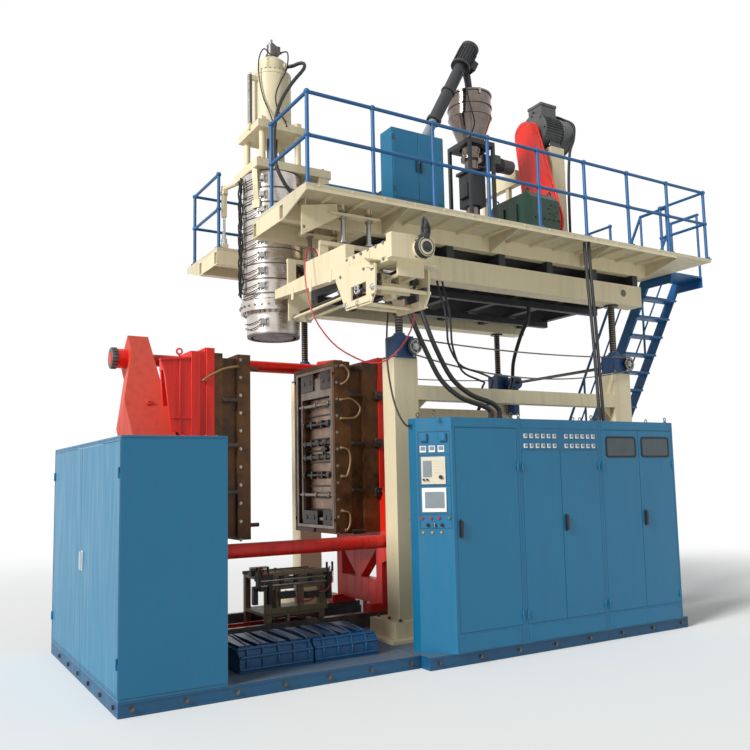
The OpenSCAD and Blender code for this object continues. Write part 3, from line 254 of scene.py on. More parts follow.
def threadedSteel(name, slot, pitch):
    # greased trapezoidal thread: dark roots, bright crests, drawn at 28 mm so that it shows from 9 m
    tree, shader, point = startFinish(name, slot, {"Metallic": 0.8})[:3]
    wave = waveBands(tree, point, "Z", pitch, 0.4, 2.0)
    tone = mixed(tree, wave, linear("#1d1b18"), linear("#77706a"))
    setSurface(tree, shader, tone, ranged(tree, wave, (0.0, 1.0), (0.55, 0.3)))
    setBump(tree, shader, wave, 0.8, 0.006)


sprayPaint("cabinetEnamel", "cabinet_blue", "#0b6c92", "#0a6489", amount=0.1, roughness=0.36)
sprayPaint("doorEnamel", "door_blue", "#0c6f96", "#0b678c", amount=0.1, roughness=0.36)
sprayPaint("housingDoorEnamel", "housing_door_blue", "#127397", "#116b8e", amount=0.1, roughness=0.36)
sprayPaint("baseEnamel", "base_blue", "#0b5279", "#0a4a6d", grime="#3a352d", amount=0.35, chips="#4b4a46")
sprayPaint("railEnamel", "rail_blue", "#135f97", "#115486", grime="#3a352d", amount=0.3, roughness=0.4)
sprayPaint("jackEnamel", "jack_blue", "#1f4f80", "#183f69", grime="#2a251e", amount=0.6, chips="#6b655c")
sprayPaint("creamPaint", "cream", "#e3d6b3", "#d9cba6", grime="#7a6a4c", amount=0.16, roughness=0.46,
           chips="#7c6a4c")
# darker cream for the blow station: painted shade for the station standing in shadow, with heavier grime on
# top
sprayPaint("stationCreamShaded", "cream", "#8f8468", "#7a6f56", grime="#3a2f20", amount=0.6, roughness=0.5,
           chips="#4c4030")
sprayPaint("clampRed", "signal_red", "#e5220f", "#d4190a", grime="#4a1a10", amount=0.45, roughness=0.4,
           chips="#7b2a1c")
sprayPaint("yokeRed", "yoke_red", "#cc4128", "#c0361f", grime="#6d2f22", amount=0.3, roughness=0.5,
           chips="#8d3c2c")
sprayPaint("guardRed", "guard_red", "#ea2a16", "#de210f", grime="#7c1d12", amount=0.2, roughness=0.28)
sprayPaint("gearGreen", "gear_green", "#17402f", "#113225", grime="#0b130f", amount=0.7, roughness=0.34,
           chips="#3b4b40")
sprayPaint("motorGrey", "motor_grey", "#5c5d5d", "#4e5051", grime="#2f2e2b", amount=0.6, roughness=0.45)
sprayPaint("machineBlack", "dark_steel", "#2b2e31", "#222528", grime="#4a4338", amount=0.5,
           roughness=0.5, dust=0.35)
metalSheet("bandStainless", "stainless", "#d6cfc8", "#9b8474", roughness=0.27, stain=0.5)
metalSheet("hopperStainless", "hopper_steel", "#80756f", "#4b403b", roughness=0.16, stain=0.6, waviness=0.05)
metalSheet("groundSteel", "bare_steel", "#a7a6a3", "#6f6a62", roughness=0.3, stain=0.6, waviness=0.05)
metalSheet("turnedSteel", "machined_steel", "#6e6c69", "#3c3833", roughness=0.4, stain=0.8, waviness=0.1)
metalSheet("chromeSteel", "chrome_rod", "#cfd1d2", "#8c8b88", roughness=0.12, stain=0.3, waviness=0.02)
metalSheet("cavitySteel", "mould_steel", "#a58c7c", "#6a503f", roughness=0.34, stain=0.9, waviness=0.15)
metalSheet("barSteel", "mould_steel", "#8f857c", "#5a4b3e", roughness=0.36, stain=0.7, waviness=0.1)
castIron("mouldIron", "mould_steel", "#573718", "#754a22", "#2c1b0c")
castIron("pinchIron", "mould_steel", "#45403c", "#5e4c3c", "#292624", roughness=0.38, metallic=0.7)
threadedSteel("threadedSteel", "bare_steel", 28)
deckPlate("deckPlate", "cream", "#cfc5a8", "#c2b797", 34)
mouldedPart("handleBlack", "handle_black", "#1c1c1e", "#26262a", roughness=0.35)
mouldedPart("handleWhite", "handle_white", "#dcdcda", "#c8c8c6", roughness=0.3)
mouldedPart("buttonRed", "button_red", "#c0241c", "#a81c16", roughness=0.2)
mouldedPart("buttonGreen", "button_green", "#5c8f6a", "#4b7c59", roughness=0.2)
mouldedPart("polyBlue", "moulded_blue", "#055080", "#04436b", roughness=0.36, speckScale=22.0,
            bumpStrength=0.25)
mouldedPart("panelCream", "cream", "#d9d0bb", "#cfc6b0", roughness=0.4)
mouldedPart("panelWhite", "handle_white", "#eceae4", "#dedcd6", roughness=0.35)
mouldedPart("screenGlass", "handle_black", "#8e979c", "#6f7b82", roughness=0.12, speckScale=8.0,
            bumpStrength=0.02)
mouldedPart("windowGlass", "handle_black", "#39444a", "#4a565c", roughness=0.08, speckScale=6.0,
            bumpStrength=0.03)
mouldedPart("sealRubber", "hose_black", "#0c0c0d", "#141415", roughness=0.55)
mouldedPart("tagYellow", "cream", "#c79a2a", "#ab8220", roughness=0.4)
mouldedPart("lampAmber", "cream", "#d9b23c", "#c49b2b", roughness=0.2)
mouldedPart("pipeGrey", "motor_grey", "#8d9496", "#7a8184", roughness=0.4)
hoseSkin("rubberHose", "hose_black", "#17181a", "#232427", 22, 0.5, 0.35)
hoseSkin("airTube", "hose_red", "#c8373a", "#b42c30", 14, 0.3, 0.08)
hoseSkin("brassPipe", "mould_steel", "#9c7d52", "#6d5436", 10, 0.35, 0.05)

nodeFinish = {
    "base": "baseEnamel", "left_housing": "cabinetEnamel", "control_cabinets": "cabinetEnamel",
    "support_frame": "creamPaint", "screw_jacks": "jackEnamel", "lift_chain": "turnedSteel",
    "clamp_rails": "turnedSteel", "blow_station": "stationCreamShaded", "moulded_panel": "polyBlue",
    "housing_door_front": "housingDoorEnamel", "housing_door_rear": "housingDoorEnamel",
    "housing_handle": "handleWhite", "door_1": "doorEnamel", "door_2_left": "doorEnamel",
    "door_2_right": "doorEnamel", "door_3_left": "doorEnamel", "door_3_right": "doorEnamel",
    "handle_1": "handleBlack", "handle_2": "handleBlack", "handle_3": "handleBlack",
    "button_1": "buttonRed", "button_2": "buttonRed", "button_3": "buttonRed", "button_4": "buttonGreen",
    "left_platen": "clampRed", "right_platen": "clampRed", "tie_bars": "clampRed", "yoke": "yokeRed",
    "left_mould": "mouldIron", "right_mould": "mouldIron", "ram_rod": "chromeSteel",
    "ram_stage_1": "chromeSteel", "ram_stage_2": "chromeSteel", "sync_pinion": "turnedSteel",
    "line_shaft": "turnedSteel", "left_sprockets": "turnedSteel", "lift_screws": "threadedSteel",
    "platform_beams": "creamPaint", "platform_joists": "machineBlack", "deck": "deckPlate",
    "railing": "railEnamel", "stair": "railEnamel", "head_body": "bandStainless",
    "head_cylinder": "creamPaint", "barrel": "bandStainless", "gearbox": "gearGreen",
    "belt_guard": "guardRed", "motor": "motorGrey", "deck_stands": "creamPaint",
    "hopper": "hopperStainless", "loader": "machineBlack", "deck_box": "cabinetEnamel",
    "parison_beam": "creamPaint", "carriage": "creamPaint", "mandrel": "turnedSteel",
    "extruder_screw": "turnedSteel", "blow_pin": "chromeSteel", "air_hose": "airTube",
    "floor_hoses": "rubberHose", "head_hoses": "rubberHose",
}
for nodeName, finishName in nodeFinish.items():
    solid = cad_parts[nodeName]
    if not solid.material_slots:
        solid.data.materials.append(finishes[finishName][0])
    for materialSlot in solid.material_slots:
        materialSlot.material = finishes[finishName][0]
print("finishes made:", len(finishes))


# shapes in millimetres, added to one bmesh for each piece
def addBox(shape, x, y, z, turn=None):
    corners = [Vector((a, b, c)) for a in x for b in y for c in z]
    if turn:
        corners = [turn @ corner for corner in corners]
    points = [shape.verts.new(corner * mm) for corner in corners]
    for side in ((0, 1, 3, 2), (4, 6, 7, 5), (0, 4, 5, 1), (2, 3, 7, 6), (0, 2, 6, 4), (1, 5, 7, 3)):
        shape.faces.new([points[i] for i in side])


def rectangle(across, up):
    # corners of an outline, from two spans
    return [(across[0], up[0]), (across[1], up[0]), (across[1], up[1]), (across[0], up[1])]


def addPlate(shape, axis, reach, outline, inner=None):
    # flat plate of an outline in the two other axes, with a window where inner has as many points
    def place(a, b, c):
        return Vector({"x": (c, a, b), "y": (a, c, b), "z": (a, b, c)}[axis]) * mm
    loops = [[[shape.verts.new(place(a, b, c)) for a, b in line] for c in reach]
             for line in ([outline, inner] if inner else [outline])]
    count = len(outline)
    for low, high in loops:
        for i in range(count):
            j = (i + 1) % count
            shape.faces.new((low[i], low[j], high[j], high[i]))
    if inner:
        for level in (0, 1):
            for i in range(count):
                j = (i + 1) % count
                shape.faces.new((loops[0][level][i], loops[0][level][j], loops[1][level][j],
                                 loops[1][level][i]))
    else:
        shape.faces.new(loops[0][0])
        shape.faces.new(loops[0][1])


def addLathe(shape, centre, along, profile, sides=40, closed=False):
    # turned shape: profile holds (radius, distance along the axis from the centre)
    along = Vector(along).normalized()
    side = along.orthogonal().normalized()
    up = along.cross(side)
    centre = Vector(centre)
    rings = []
    for radius, reach in profile:
        if radius < 0.01:
            rings.append([shape.verts.new((centre + along * reach) * mm)])
        else:
            rings.append([shape.verts.new((centre + along * reach + radius * (cos(2 * pi * i / sides) * side
                          + sin(2 * pi * i / sides) * up)) * mm) for i in range(sides)])
    pairs = list(zip(rings, rings[1:])) + ([(rings[-1], rings[0])] if closed else [])
    for first, second in pairs:
        for i in range(sides):
            j = (i + 1) % sides
            if len(first) == 1:
                shape.faces.new((first[0], second[j], second[i]))
            elif len(second) == 1:
                shape.faces.new((first[i], first[j], second[0]))
            else:
                shape.faces.new((first[i], first[j], second[j], second[i]))
    if not closed:
        for ring in (rings[0], rings[-1]):
            if len(ring) > 2:
                shape.faces.new(ring)


def addRing(shape, centre, along, radii, reach, sides):
    # turned ring of a rectangular section: radii inside and outside, reach along the axis
    (inner, outer), (low, high) = radii, reach
    addLathe(shape, centre, along, [(inner, low), (outer, low), (outer, high), (inner, high)],
             sides, closed=True)


def addRod(shape, start, end, radius, sides=20):
    along = Vector(end) - Vector(start)
    addLathe(shape, start, along, [(radius, 0), (radius, along.length)], sides)


def sweepRings(points, radius, sides):
    points = [Vector(p) for p in points]
    rings, side = [], None
    for i, point in enumerate(points):
        along = (points[min(i + 1, len(points) - 1)] - points[max(i - 1, 0)]).normalized()
        side = along.orthogonal() if side is None else side - along * side.dot(along)
        side.normalize()
        up = along.cross(side)
        rings.append([point + radius * (cos(2 * pi * k / sides) * side + sin(2 * pi * k / sides) * up)
                      for k in range(sides)])
    return rings


def addTube(shape, points, radius, sides=8):
    rings = [[shape.verts.new(p * mm) for p in ring] for ring in sweepRings(points, radius, sides)]
    for first, second in zip(rings, rings[1:]):
        for i in range(sides):
            j = (i + 1) % sides
            shape.faces.new((first[i], first[j], second[j], second[i]))
    shape.faces.new(rings[0])
    shape.faces.new(rings[-1])


def smoothRoute(points, steps):
    # curve through given points, steps stretches between each two of them
    points = [Vector(p) for p in points]
    route = []
    for i in range(len(points) - 1):
        a, b = points[max(i - 1, 0)], points[i]
        c, d = points[i + 1], points[min(i + 2, len(points) - 1)]
        for k in range(steps):
            t = k / steps
            route.append(0.5 * (2 * b + (c - a) * t + (2 * a - 5 * b + 4 * c - d) * t ** 2
                                + (3 * b - a - 3 * c + d) * t ** 3))
    return route + [points[-1]]


def ringOf(centre, along, radius, count, start=0.0, reach=0.0):
    # points round a circle and the directions away from its centre
    along = Vector(along).normalized()
    side = along.orthogonal().normalized()
    up = along.cross(side)
    away = [cos(start + 2 * pi * i / count) * side + sin(start + 2 * pi * i / count) * up
            for i in range(count)]
    return [Vector(centre) + along * reach + radius * a for a in away], away


def finishPiece(name, mesh, body):
    piece = bpy.data.objects.new(name, mesh)
    scene.collection.objects.link(piece)
    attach(piece, body)
    return piece


def makePiece(name, shape, finish, body, bevel=0.0, sharp=32):
    bmesh.ops.recalc_face_normals(shape, faces=shape.faces)
    mesh = bpy.data.meshes.new(name)
    shape.to_mesh(mesh)
    shape.free()
    mesh.materials.append(finishes[finish][0])
    mesh.polygons.foreach_set("use_smooth", [True] * len(mesh.polygons))
    mesh.set_sharp_from_angle(angle=radians(sharp))
    piece = finishPiece(name, mesh, body)
    if bevel:
        rounding = piece.modifiers.new("rounding", "BEVEL")
        rounding.width, rounding.segments = bevel * mm, 2
        rounding.limit_method, rounding.angle_limit = "ANGLE", radians(40)


# geometry nodes for what repeats: bolt heads and flat bars
def startTree(name, sizes):
    tree = bpy.data.node_groups.new(name, "GeometryNodeTree")
    tree.interface.new_socket("Geometry", in_out="INPUT", socket_type="NodeSocketGeometry")
    for label in sizes:
        tree.interface.new_socket(label, in_out="INPUT", socket_type="NodeSocketFloat")
    tree.interface.new_socket("Finish", in_out="INPUT", socket_type="NodeSocketMaterial")
    tree.interface.new_socket("Geometry", in_out="OUTPUT", socket_type="NodeSocketGeometry")
    return tree, addNode(tree, "NodeGroupInput").outputs


def endTree(tree, given, shape, turn):
    # one shape at each point, turned, made real and given its material
    placed = addNode(tree, "GeometryNodeInstanceOnPoints", {}, {
        "Points": given["Geometry"], "Instance": shape.outputs[0], "Rotation": turn.outputs[0]})
    plain = addNode(tree, "GeometryNodeRealizeInstances", {}, {"Geometry": placed.outputs[0]})
    flat = addNode(tree, "GeometryNodeSetShadeSmooth", {},
                   {"Geometry": plain.outputs[0], "Shade Smooth": False})
    dressed = addNode(tree, "GeometryNodeSetMaterial", {},
                      {"Geometry": flat.outputs[0], "Material": given["Finish"]})
    addNode(tree, "NodeGroupOutput", {}, {"Geometry": dressed.outputs[0]})
    return tree


def storedVector(tree, label):
    return addNode(tree, "GeometryNodeInputNamedAttribute", {"data_type": "FLOAT_VECTOR"},
                   {"Name": label}).outputs[0]


def hexHeadTree():
    # hexagon head on a washer at each point, standing along the attribute facing
    tree, given = startTree("hexHeads", ("Head radius", "Head height", "Washer radius"))
    turn = addNode(tree, "FunctionNodeAlignRotationToVector", {"axis": "Z"},
                   {"Vector": storedVector(tree, "facing")})
    head = addNode(tree, "GeometryNodeMeshCylinder", {},
                   {"Vertices": 6, "Radius": given["Head radius"], "Depth": given["Head height"]})
    lift = addNode(tree, "ShaderNodeCombineXYZ", {},
                   {"Z": maths(tree, "MULTIPLY", given["Head height"], 0.6)})
    raised = addNode(tree, "GeometryNodeTransform", {},
                     {"Geometry": head.outputs[0], "Translation": lift.outputs[0]})
    washer = addNode(tree, "GeometryNodeMeshCylinder", {}, {
        "Vertices": 14, "Radius": given["Washer radius"],
        "Depth": maths(tree, "MULTIPLY", given["Head height"], 0.3)})
    both = addNode(tree, "GeometryNodeJoinGeometry", {}, {"Geometry": [raised.outputs[0], washer.outputs[0]]})
    return endTree(tree, given, both, turn)


def barTree():
    # flat bar at each point: its length runs along the attribute along, its height along facing
    tree, given = startTree("flatBars", ("Length", "Width", "Height"))
    stand = addNode(tree, "FunctionNodeAlignRotationToVector", {"axis": "Z"},
                    {"Vector": storedVector(tree, "facing")})
    turn = addNode(tree, "FunctionNodeAlignRotationToVector", {"axis": "X", "pivot_axis": "Z"},
                   {"Rotation": stand.outputs[0], "Vector": storedVector(tree, "along")})
    size = addNode(tree, "ShaderNodeCombineXYZ", {},
                   {"X": given["Length"], "Y": given["Width"], "Z": given["Height"]})
    bar = addNode(tree, "GeometryNodeMeshCube", {}, {"Size": size.outputs[0]})
    return endTree(tree, given, bar, turn)


def growPiece(name, body, finish, tree, sizes, points, facing=None, along=None):
    seed = bpy.data.meshes.new(name + "Seed")
    seed.from_pydata([Vector(p) * mm for p in points], [], [])
    for label, vectors in (("facing", facing), ("along", along)):
        if vectors:
            layer = seed.attributes.new(label, "FLOAT_VECTOR", "POINT")
            for i, vector in enumerate(vectors):
                layer.data[i].vector = vector
    holder = bpy.data.objects.new(name + "Seed", seed)
    scene.collection.objects.link(holder)
    grow = holder.modifiers.new("grow", "NODES")
    grow.node_group = tree
    for item in tree.interface.items_tree:
        if item.in_out == "INPUT" and item.name in sizes:
            grow[item.identifier] = sizes[item.name] * mm
        elif item.in_out == "INPUT" and item.name == "Finish":
            grow[item.identifier] = finishes[finish][0]
    bpy.context.view_layer.update()
    mesh = bpy.data.meshes.new_from_object(holder.evaluated_get(bpy.context.evaluated_depsgraph_get()))
    mesh.name = name
    bpy.data.objects.remove(holder)
    finishPiece(name, mesh, body)


hexHeads, flatBars = hexHeadTree(), barTree()


washerShare = 1.35      # radius of a washer over that of its head


def forEach(points, direction):
    return [direction] * len(points) if isinstance(direction, tuple) else direction


def addBolts(name, body, points, facing, radius=16, height=12, finish="turnedSteel"):
    sizes = {"Head radius": radius, "Head height": height, "Washer radius": radius * washerShare}
    growPiece(name, body, finish, hexHeads, sizes, points, forEach(points, facing))


def addBars(name, body, finish, size, points, facing, along):
    sizes = dict(zip(("Length", "Width", "Height"), size))
    growPiece(name, body, finish, flatBars, sizes, points, forEach(points, facing), forEach(points, along))


print("shape tools ready")


# hoses and cables, on the routes that the solids follow
hoses = {
    "airHose": {
        "node": "air_hose", "bodies": ("platform", "carriage"), "radius": 7, "finish": "airTube", "steps": 2,
        "stiffness": "medium", "route": [
            (-105, -1250, 3778.3), (-105, -1250, 3820), (-170, -1262, 3862), (-240, -1290, 3780),
            (-285, -1350, 3570), (-288, -1420, 3330), (-266, -1490, 3140), (-190, -1560, 2970),
            (-90, -1620, 2845), (50, -1680, 2755), (190, -1730, 2705), (310, -1800, 2730),
            (410, -1890, 2840), (470, -1970, 2990), (480, -2015, 3120), (420, -2030, 3200),
            (352.3, -2030, 3200)]},
    "oilHoseLeft": {
        "node": "floor_hoses", "bodies": ("frame", "platform"), "radius": 24,
                    "finish": "rubberHose", "steps": 4,
        "stiffness": "stiff", "route": [
            (840, -1236, 3789.7), (840, -1236, 3690), (840, -1330, 3440), (850, -1470, 3170),
            (920, -1570, 2880), (1010, -1670, 2600), (1150, -1790, 2420), (1330, -1880, 2340),
            (1420, -1900, 2290), (1420, -1900, 2220.3)]},
    "oilHoseRight": {
        "node": "floor_hoses", "bodies": ("frame", "platform"), "radius": 24,
                     "finish": "rubberHose", "steps": 4,
        "stiffness": "stiff", "route": [
            (1000, -1236, 3789.7), (1000, -1236, 3690), (1020, -1320, 3440), (1040, -1420, 3170),
            (1080, -1530, 2900), (1160, -1650, 2620), (1290, -1780, 2450), (1450, -1880, 2370),
            (1530, -1900, 2300), (1530, -1900, 2220.3)]},
    "controlHose": {
        "node": "floor_hoses", "bodies": ("frame", "platform"), "radius": 9,
                    "finish": "rubberHose", "steps": 4,
        "stiffness": "medium", "route": [
            (740, -1236, 3789.7), (740, -1236, 3700), (650, -1330, 3400), (550, -1440, 3080),
            (485, -1540, 2740), (460, -1650, 2440), (465, -1740, 2250), (505, -1800, 2140),
            (552.7, -1800, 2140)]},
    "deckCable": {
        "node": "floor_hoses", "bodies": ("frame", "platform"), "radius": 18,
                  "finish": "rubberHose", "steps": 5,
        "stiffness": "stiff", "route": [
            (3080, -1650, 4254.7), (3080, -1650, 4130), (3060, -1690, 3700), (3050, -1730, 3230),
            (3030, -1770, 2700), (3010, -1800, 2380), (3010, -1800, 2220.3)]},
    "headHose": {
        "node": "head_hoses", "bodies": ("platform",), "radius": 20, "finish": "rubberHose", "steps": 3,
        "stiffness": "stiff", "route": [
            (134.6, -134.6, 6290), (180, -180, 6290), (226, -226, 6308), (262, -284, 6290),
            (240, -328, 6200), (85, -350, 5988), (-63, -380, 5733), (-148, -420, 5484),
            (-190, -470, 5178), (-190, -520, 4940), (-110, -555, 4740), (20, -560, 4590),
            (60, -560, 4460), (60, -560, 4345.3)]},
    "deckCableTwin": {
        "bodies": ("frame", "platform"), "radius": 18, "finish": "rubberHose", "steps": 5,
        "stiffness": "stiff", "route": [
            (3146, -1650, 4283), (3146, -1650, 4130), (3122, -1690, 3700), (3108, -1730, 3230),
            (3086, -1770, 2700), (3070, -1800, 2380), (3066, -1800, 2202)]},
    "thinHoseFront": {
        "bodies": ("frame", "platform"), "radius": 11, "finish": "rubberHose", "steps": 5,
        "stiffness": "medium", "route": [
            (1380, -1150, 3734), (1378, -1190, 3600), (1378, -1270, 3400), (1380, -1300, 3210),
            (1390, -1300, 3050), (1470, -1300, 2890), (1580, -1300, 2800), (1800, -1300, 2750),
            (1980, -1270, 2700), (2060, -1170, 2640), (2070, -1130, 2603)]},
    "thinHoseBeside": {
        "bodies": ("frame", "platform"), "radius": 11, "finish": "rubberHose", "steps": 5,
        "stiffness": "medium", "route": [
            (1450, -1150, 3734), (1444, -1190, 3600), (1434, -1270, 3420), (1430, -1300, 3220),
            (1448, -1300, 3000), (1560, -1300, 2760), (1760, -1300, 2680), (1880, -1260, 2660),
            (1940, -1170, 2640), (1950, -1130, 2603)]},
    "rearHose": {
        "bodies": ("frame", "platform"), "radius": 24, "finish": "rubberHose", "steps": 5,
        "stiffness": "stiff", "route": [
            (3270, -480, 3749), (3276, -460, 3620), (3300, -280, 3420), (3360, -60, 3130), (3470, 120, 2850),
            (3560, 420, 2700), (3640, 800, 2670), (3690, 1050, 2660), (3700, 1120, 2603)]},
}


def makeHose(name, facts, sides=12):
    route = smoothRoute(facts["route"], facts["steps"])
    rings = sweepRings(route, facts["radius"], sides)
    points = [p * mm for ring in rings for p in ring]
    faces = [(i * sides + k, (i + 1) * sides + k, (i + 1) * sides + (k + 1) % sides,
              i * sides + (k + 1) % sides) for i in range(len(rings) - 1) for k in range(sides)]
    faces += [tuple(range(sides)), tuple(reversed(range((len(rings) - 1) * sides, len(rings) * sides)))]
    mesh = bpy.data.meshes.new(name)
    mesh.from_pydata(points, [], faces)
    mesh.materials.append(finishes[facts["finish"]][0])
    mesh.polygons.foreach_set("use_smooth", [True] * len(mesh.polygons))
    mesh.set_sharp_from_angle(angle=radians(60))
    reach, total = [0.0], 0.0
    for first, second in zip(route, route[1:]):
        total += (second - first).length * mm
        reach.append(total)
    layer = mesh.attributes.new("run", "FLOAT", "POINT")
    layer.data.foreach_set("value", [reach[i] for i in range(len(rings)) for k in range(sides)])
    check = bmesh.new()
    check.from_mesh(mesh)
    bmesh.ops.recalc_face_normals(check, faces=check.faces)
    check.to_mesh(mesh)
    check.free()
    hose = bpy.data.objects.new(name, mesh)
    scene.collection.objects.link(hose)
    if len(facts["bodies"]) == 1:
        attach(hose, facts["bodies"][0])
    elif facts["bodies"][0] == "frame":
        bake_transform(hose)
    else:
        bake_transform(hose)
    if facts.get("node"):
        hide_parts(facts["node"])


for hoseName, hoseFacts in hoses.items():
    makeHose(hoseName, hoseFacts)
print("hoses laid:", len(hoses))


# head: heater bands, their clips, wires and screws, the bracket and the arm beside it
headWork = {
    "joints": (3572, 3634, 3791, 3959, 4128, 4298, 4463, 4628, 4793, 4984), "bandRadius": 328, "gap": 7,
    "dieBand": (3212, 3446, 290), "clipAngle": 226, "tagAngle": 301, "wireAngle": 156, "flangeBolts": 28,
}


def around(angle, radius, z):
    return Vector((radius * cos(radians(angle)), radius * sin(radians(angle)), z))


def addBand(shape, centre, along, low, high, inner, outer, gap):
    addLathe(shape, centre, along, [
        (inner, low + gap), (outer - 3, low + gap), (outer, low + gap + 4), (outer, high - gap - 4),
        (outer - 3, high - gap), (inner, high - gap)], 72, closed=True)


def makeHead(work):
    bands = bmesh.new()
    levels = [(a, b, work["bandRadius"])
              for a, b in zip(work["joints"], work["joints"][1:])] + [work["dieBand"]]
    for low, high, radius in levels:
        addBand(bands, (0, 0, 0), toTop, low, high, radius - 9, radius, work["gap"])
    makePiece("heaterBands", bands, "bandStainless", "platform")
    grooves = bmesh.new()
    for level in work["joints"][1:]:
        addRing(grooves, (0, 0, 0), toTop, (319, 322), (level - 6, level + 6), 72)
    addLathe(grooves, (0, 0, 0), toTop, [(246, 3198), (284, 3198), (286, 3214), (246, 3214)], 64, closed=True)
    makePiece("bandGrooves", grooves, "turnedSteel", "platform")
    clipPoints, strapPoints, tagPoints, radial, strapRadial, tagRadial = [], [], [], [], [], []
    for low, high, radius in levels:
        if high - low < 100:
            continue
        middle = (low + high) / 2
        clipPoints.append(around(work["clipAngle"], radius + 10, middle))
        radial.append(around(work["clipAngle"], 1, 0))
        for shift in (-8, -3, 5, 9):
            strapPoints.append(around(work["clipAngle"] + shift, radius + 7, middle))
            strapRadial.append(around(work["clipAngle"] + shift, 1, 0))
        tagPoints.append(around(work["tagAngle"] + (middle % 9), radius + 1, middle - 20))
        tagRadial.append(around(work["tagAngle"] + (middle % 9), 1, 0))
    addBars("bandClips", "platform", "turnedSteel", (44, 62, 26), clipPoints, radial, toTop)
    addBars("bandStraps", "platform", "groundSteel", (92, 13, 18), strapPoints, strapRadial, toTop)
    addBars("bandTags", "platform", "tagYellow", (30, 44, 4), tagPoints, tagRadial, toTop)
    screws = bmesh.new()
    for point in clipPoints:
        side = Vector((-point.y, point.x, 0)).normalized()
        for lift in (-26, 26):
            centre = point * 1.02
            centre.z = point.z + lift
            addRod(screws, centre - 52 * side, centre + 52 * side, 6, 8)
    makePiece("bandScrews", screws, "groundSteel", "platform")
    points, away = ringOf((0, 0, 3512), toTop, 355, work["flangeBolts"])
    addBolts("dieScrews", "platform", points, away, 11, 14, "groundSteel")
    addBolts("ringScrews", "platform", ringOf((0, 0, 3456), toTop, 320, work["flangeBolts"])[0], toFloor, 12,
             14, "groundSteel")
    addBolts("flangeScrews", "platform", ringOf((0, 0, 3568), toTop, 342, work["flangeBolts"])[0], toTop,
             9, 12)
    wires = bmesh.new()
    for i, (low, high, radius) in enumerate(levels):
        middle = (low + high) / 2
        for k in range(2):
            start, end = work["clipAngle"] - 5, work["wireAngle"] + 4 * ((i + k) % 4)
            count = 8
            addTube(wires, [around(start + (end - start) * j / count, radius + 12 + 10 * sin(pi * j / count),
                                   middle + 24 - 48 * k - (34 + 12 * k) * sin(pi * j / count))
                            for j in range(count + 1)], 5, 6)
    for i in range(5):
        addTube(wires, smoothRoute([around(work["wireAngle"] + 5 * i + 2 * ((j + i) % 2),
                                           348 + 14 * ((i * 2 + j) % 3), 3640 + 130 * j + 24 * ((i + j) % 2))
                                    for j in range(11)], 2), 9, 6)
    makePiece("bandWires", wires, "sealRubber", "platform")
    mounts = bmesh.new()
    addPlate(mounts, "y", (-32, 32), [(300, 5080), (372, 5080), (392, 5020), (352, 4640),
                                      (330, 4600), (318, 4600)])
    addBox(mounts, (318, 360), (-46, 46), (4560, 4650))
    bmesh.ops.transform(mounts, matrix=Matrix.Rotation(radians(216), 4, "Z"), verts=mounts.verts)
    makePiece("headBracket", mounts, "creamPaint", "platform", bevel=3)
    arm = bmesh.new()
    addBox(arm, (-362, -288), (600, 680), (deckTop, 4380))
    addBox(arm, (-350, -300), (612, 668), (4700, 4970))
    addRod(arm, (-325, 640, 4965), (-325, 640, 5005), 42)
    addBox(arm, (-352, -298), (590, 690), (4970, 5020))
    addRod(arm, (-325, 640, 5040), (-235, 322, 5040), 26, 14)
    addRod(arm, (-325, 640, 5010), (-325, 640, 5070), 34, 16)
    addBox(arm, (-270, -200), (300, 345), (4995, 5075))
    makePiece("liftArm", arm, "creamPaint", "platform", bevel=3)
    rod = bmesh.new()
    addRod(rod, (-325, 640, 4380), (-325, 640, 4700), 17, 16)
    addLathe(rod, (-325, 640, 0), toTop,
             [(0, 4380), (36, 4380), (36, 4440), (24, 4450), (24, 4500), (0, 4500)], 20)
    makePiece("armRod", rod, "chromeSteel", "platform")


makeHead(headWork)

cylinderWork = {"body": 214, "foot": (5530, 5575, 262), "capBolts": 24, "rodGrid": 212}


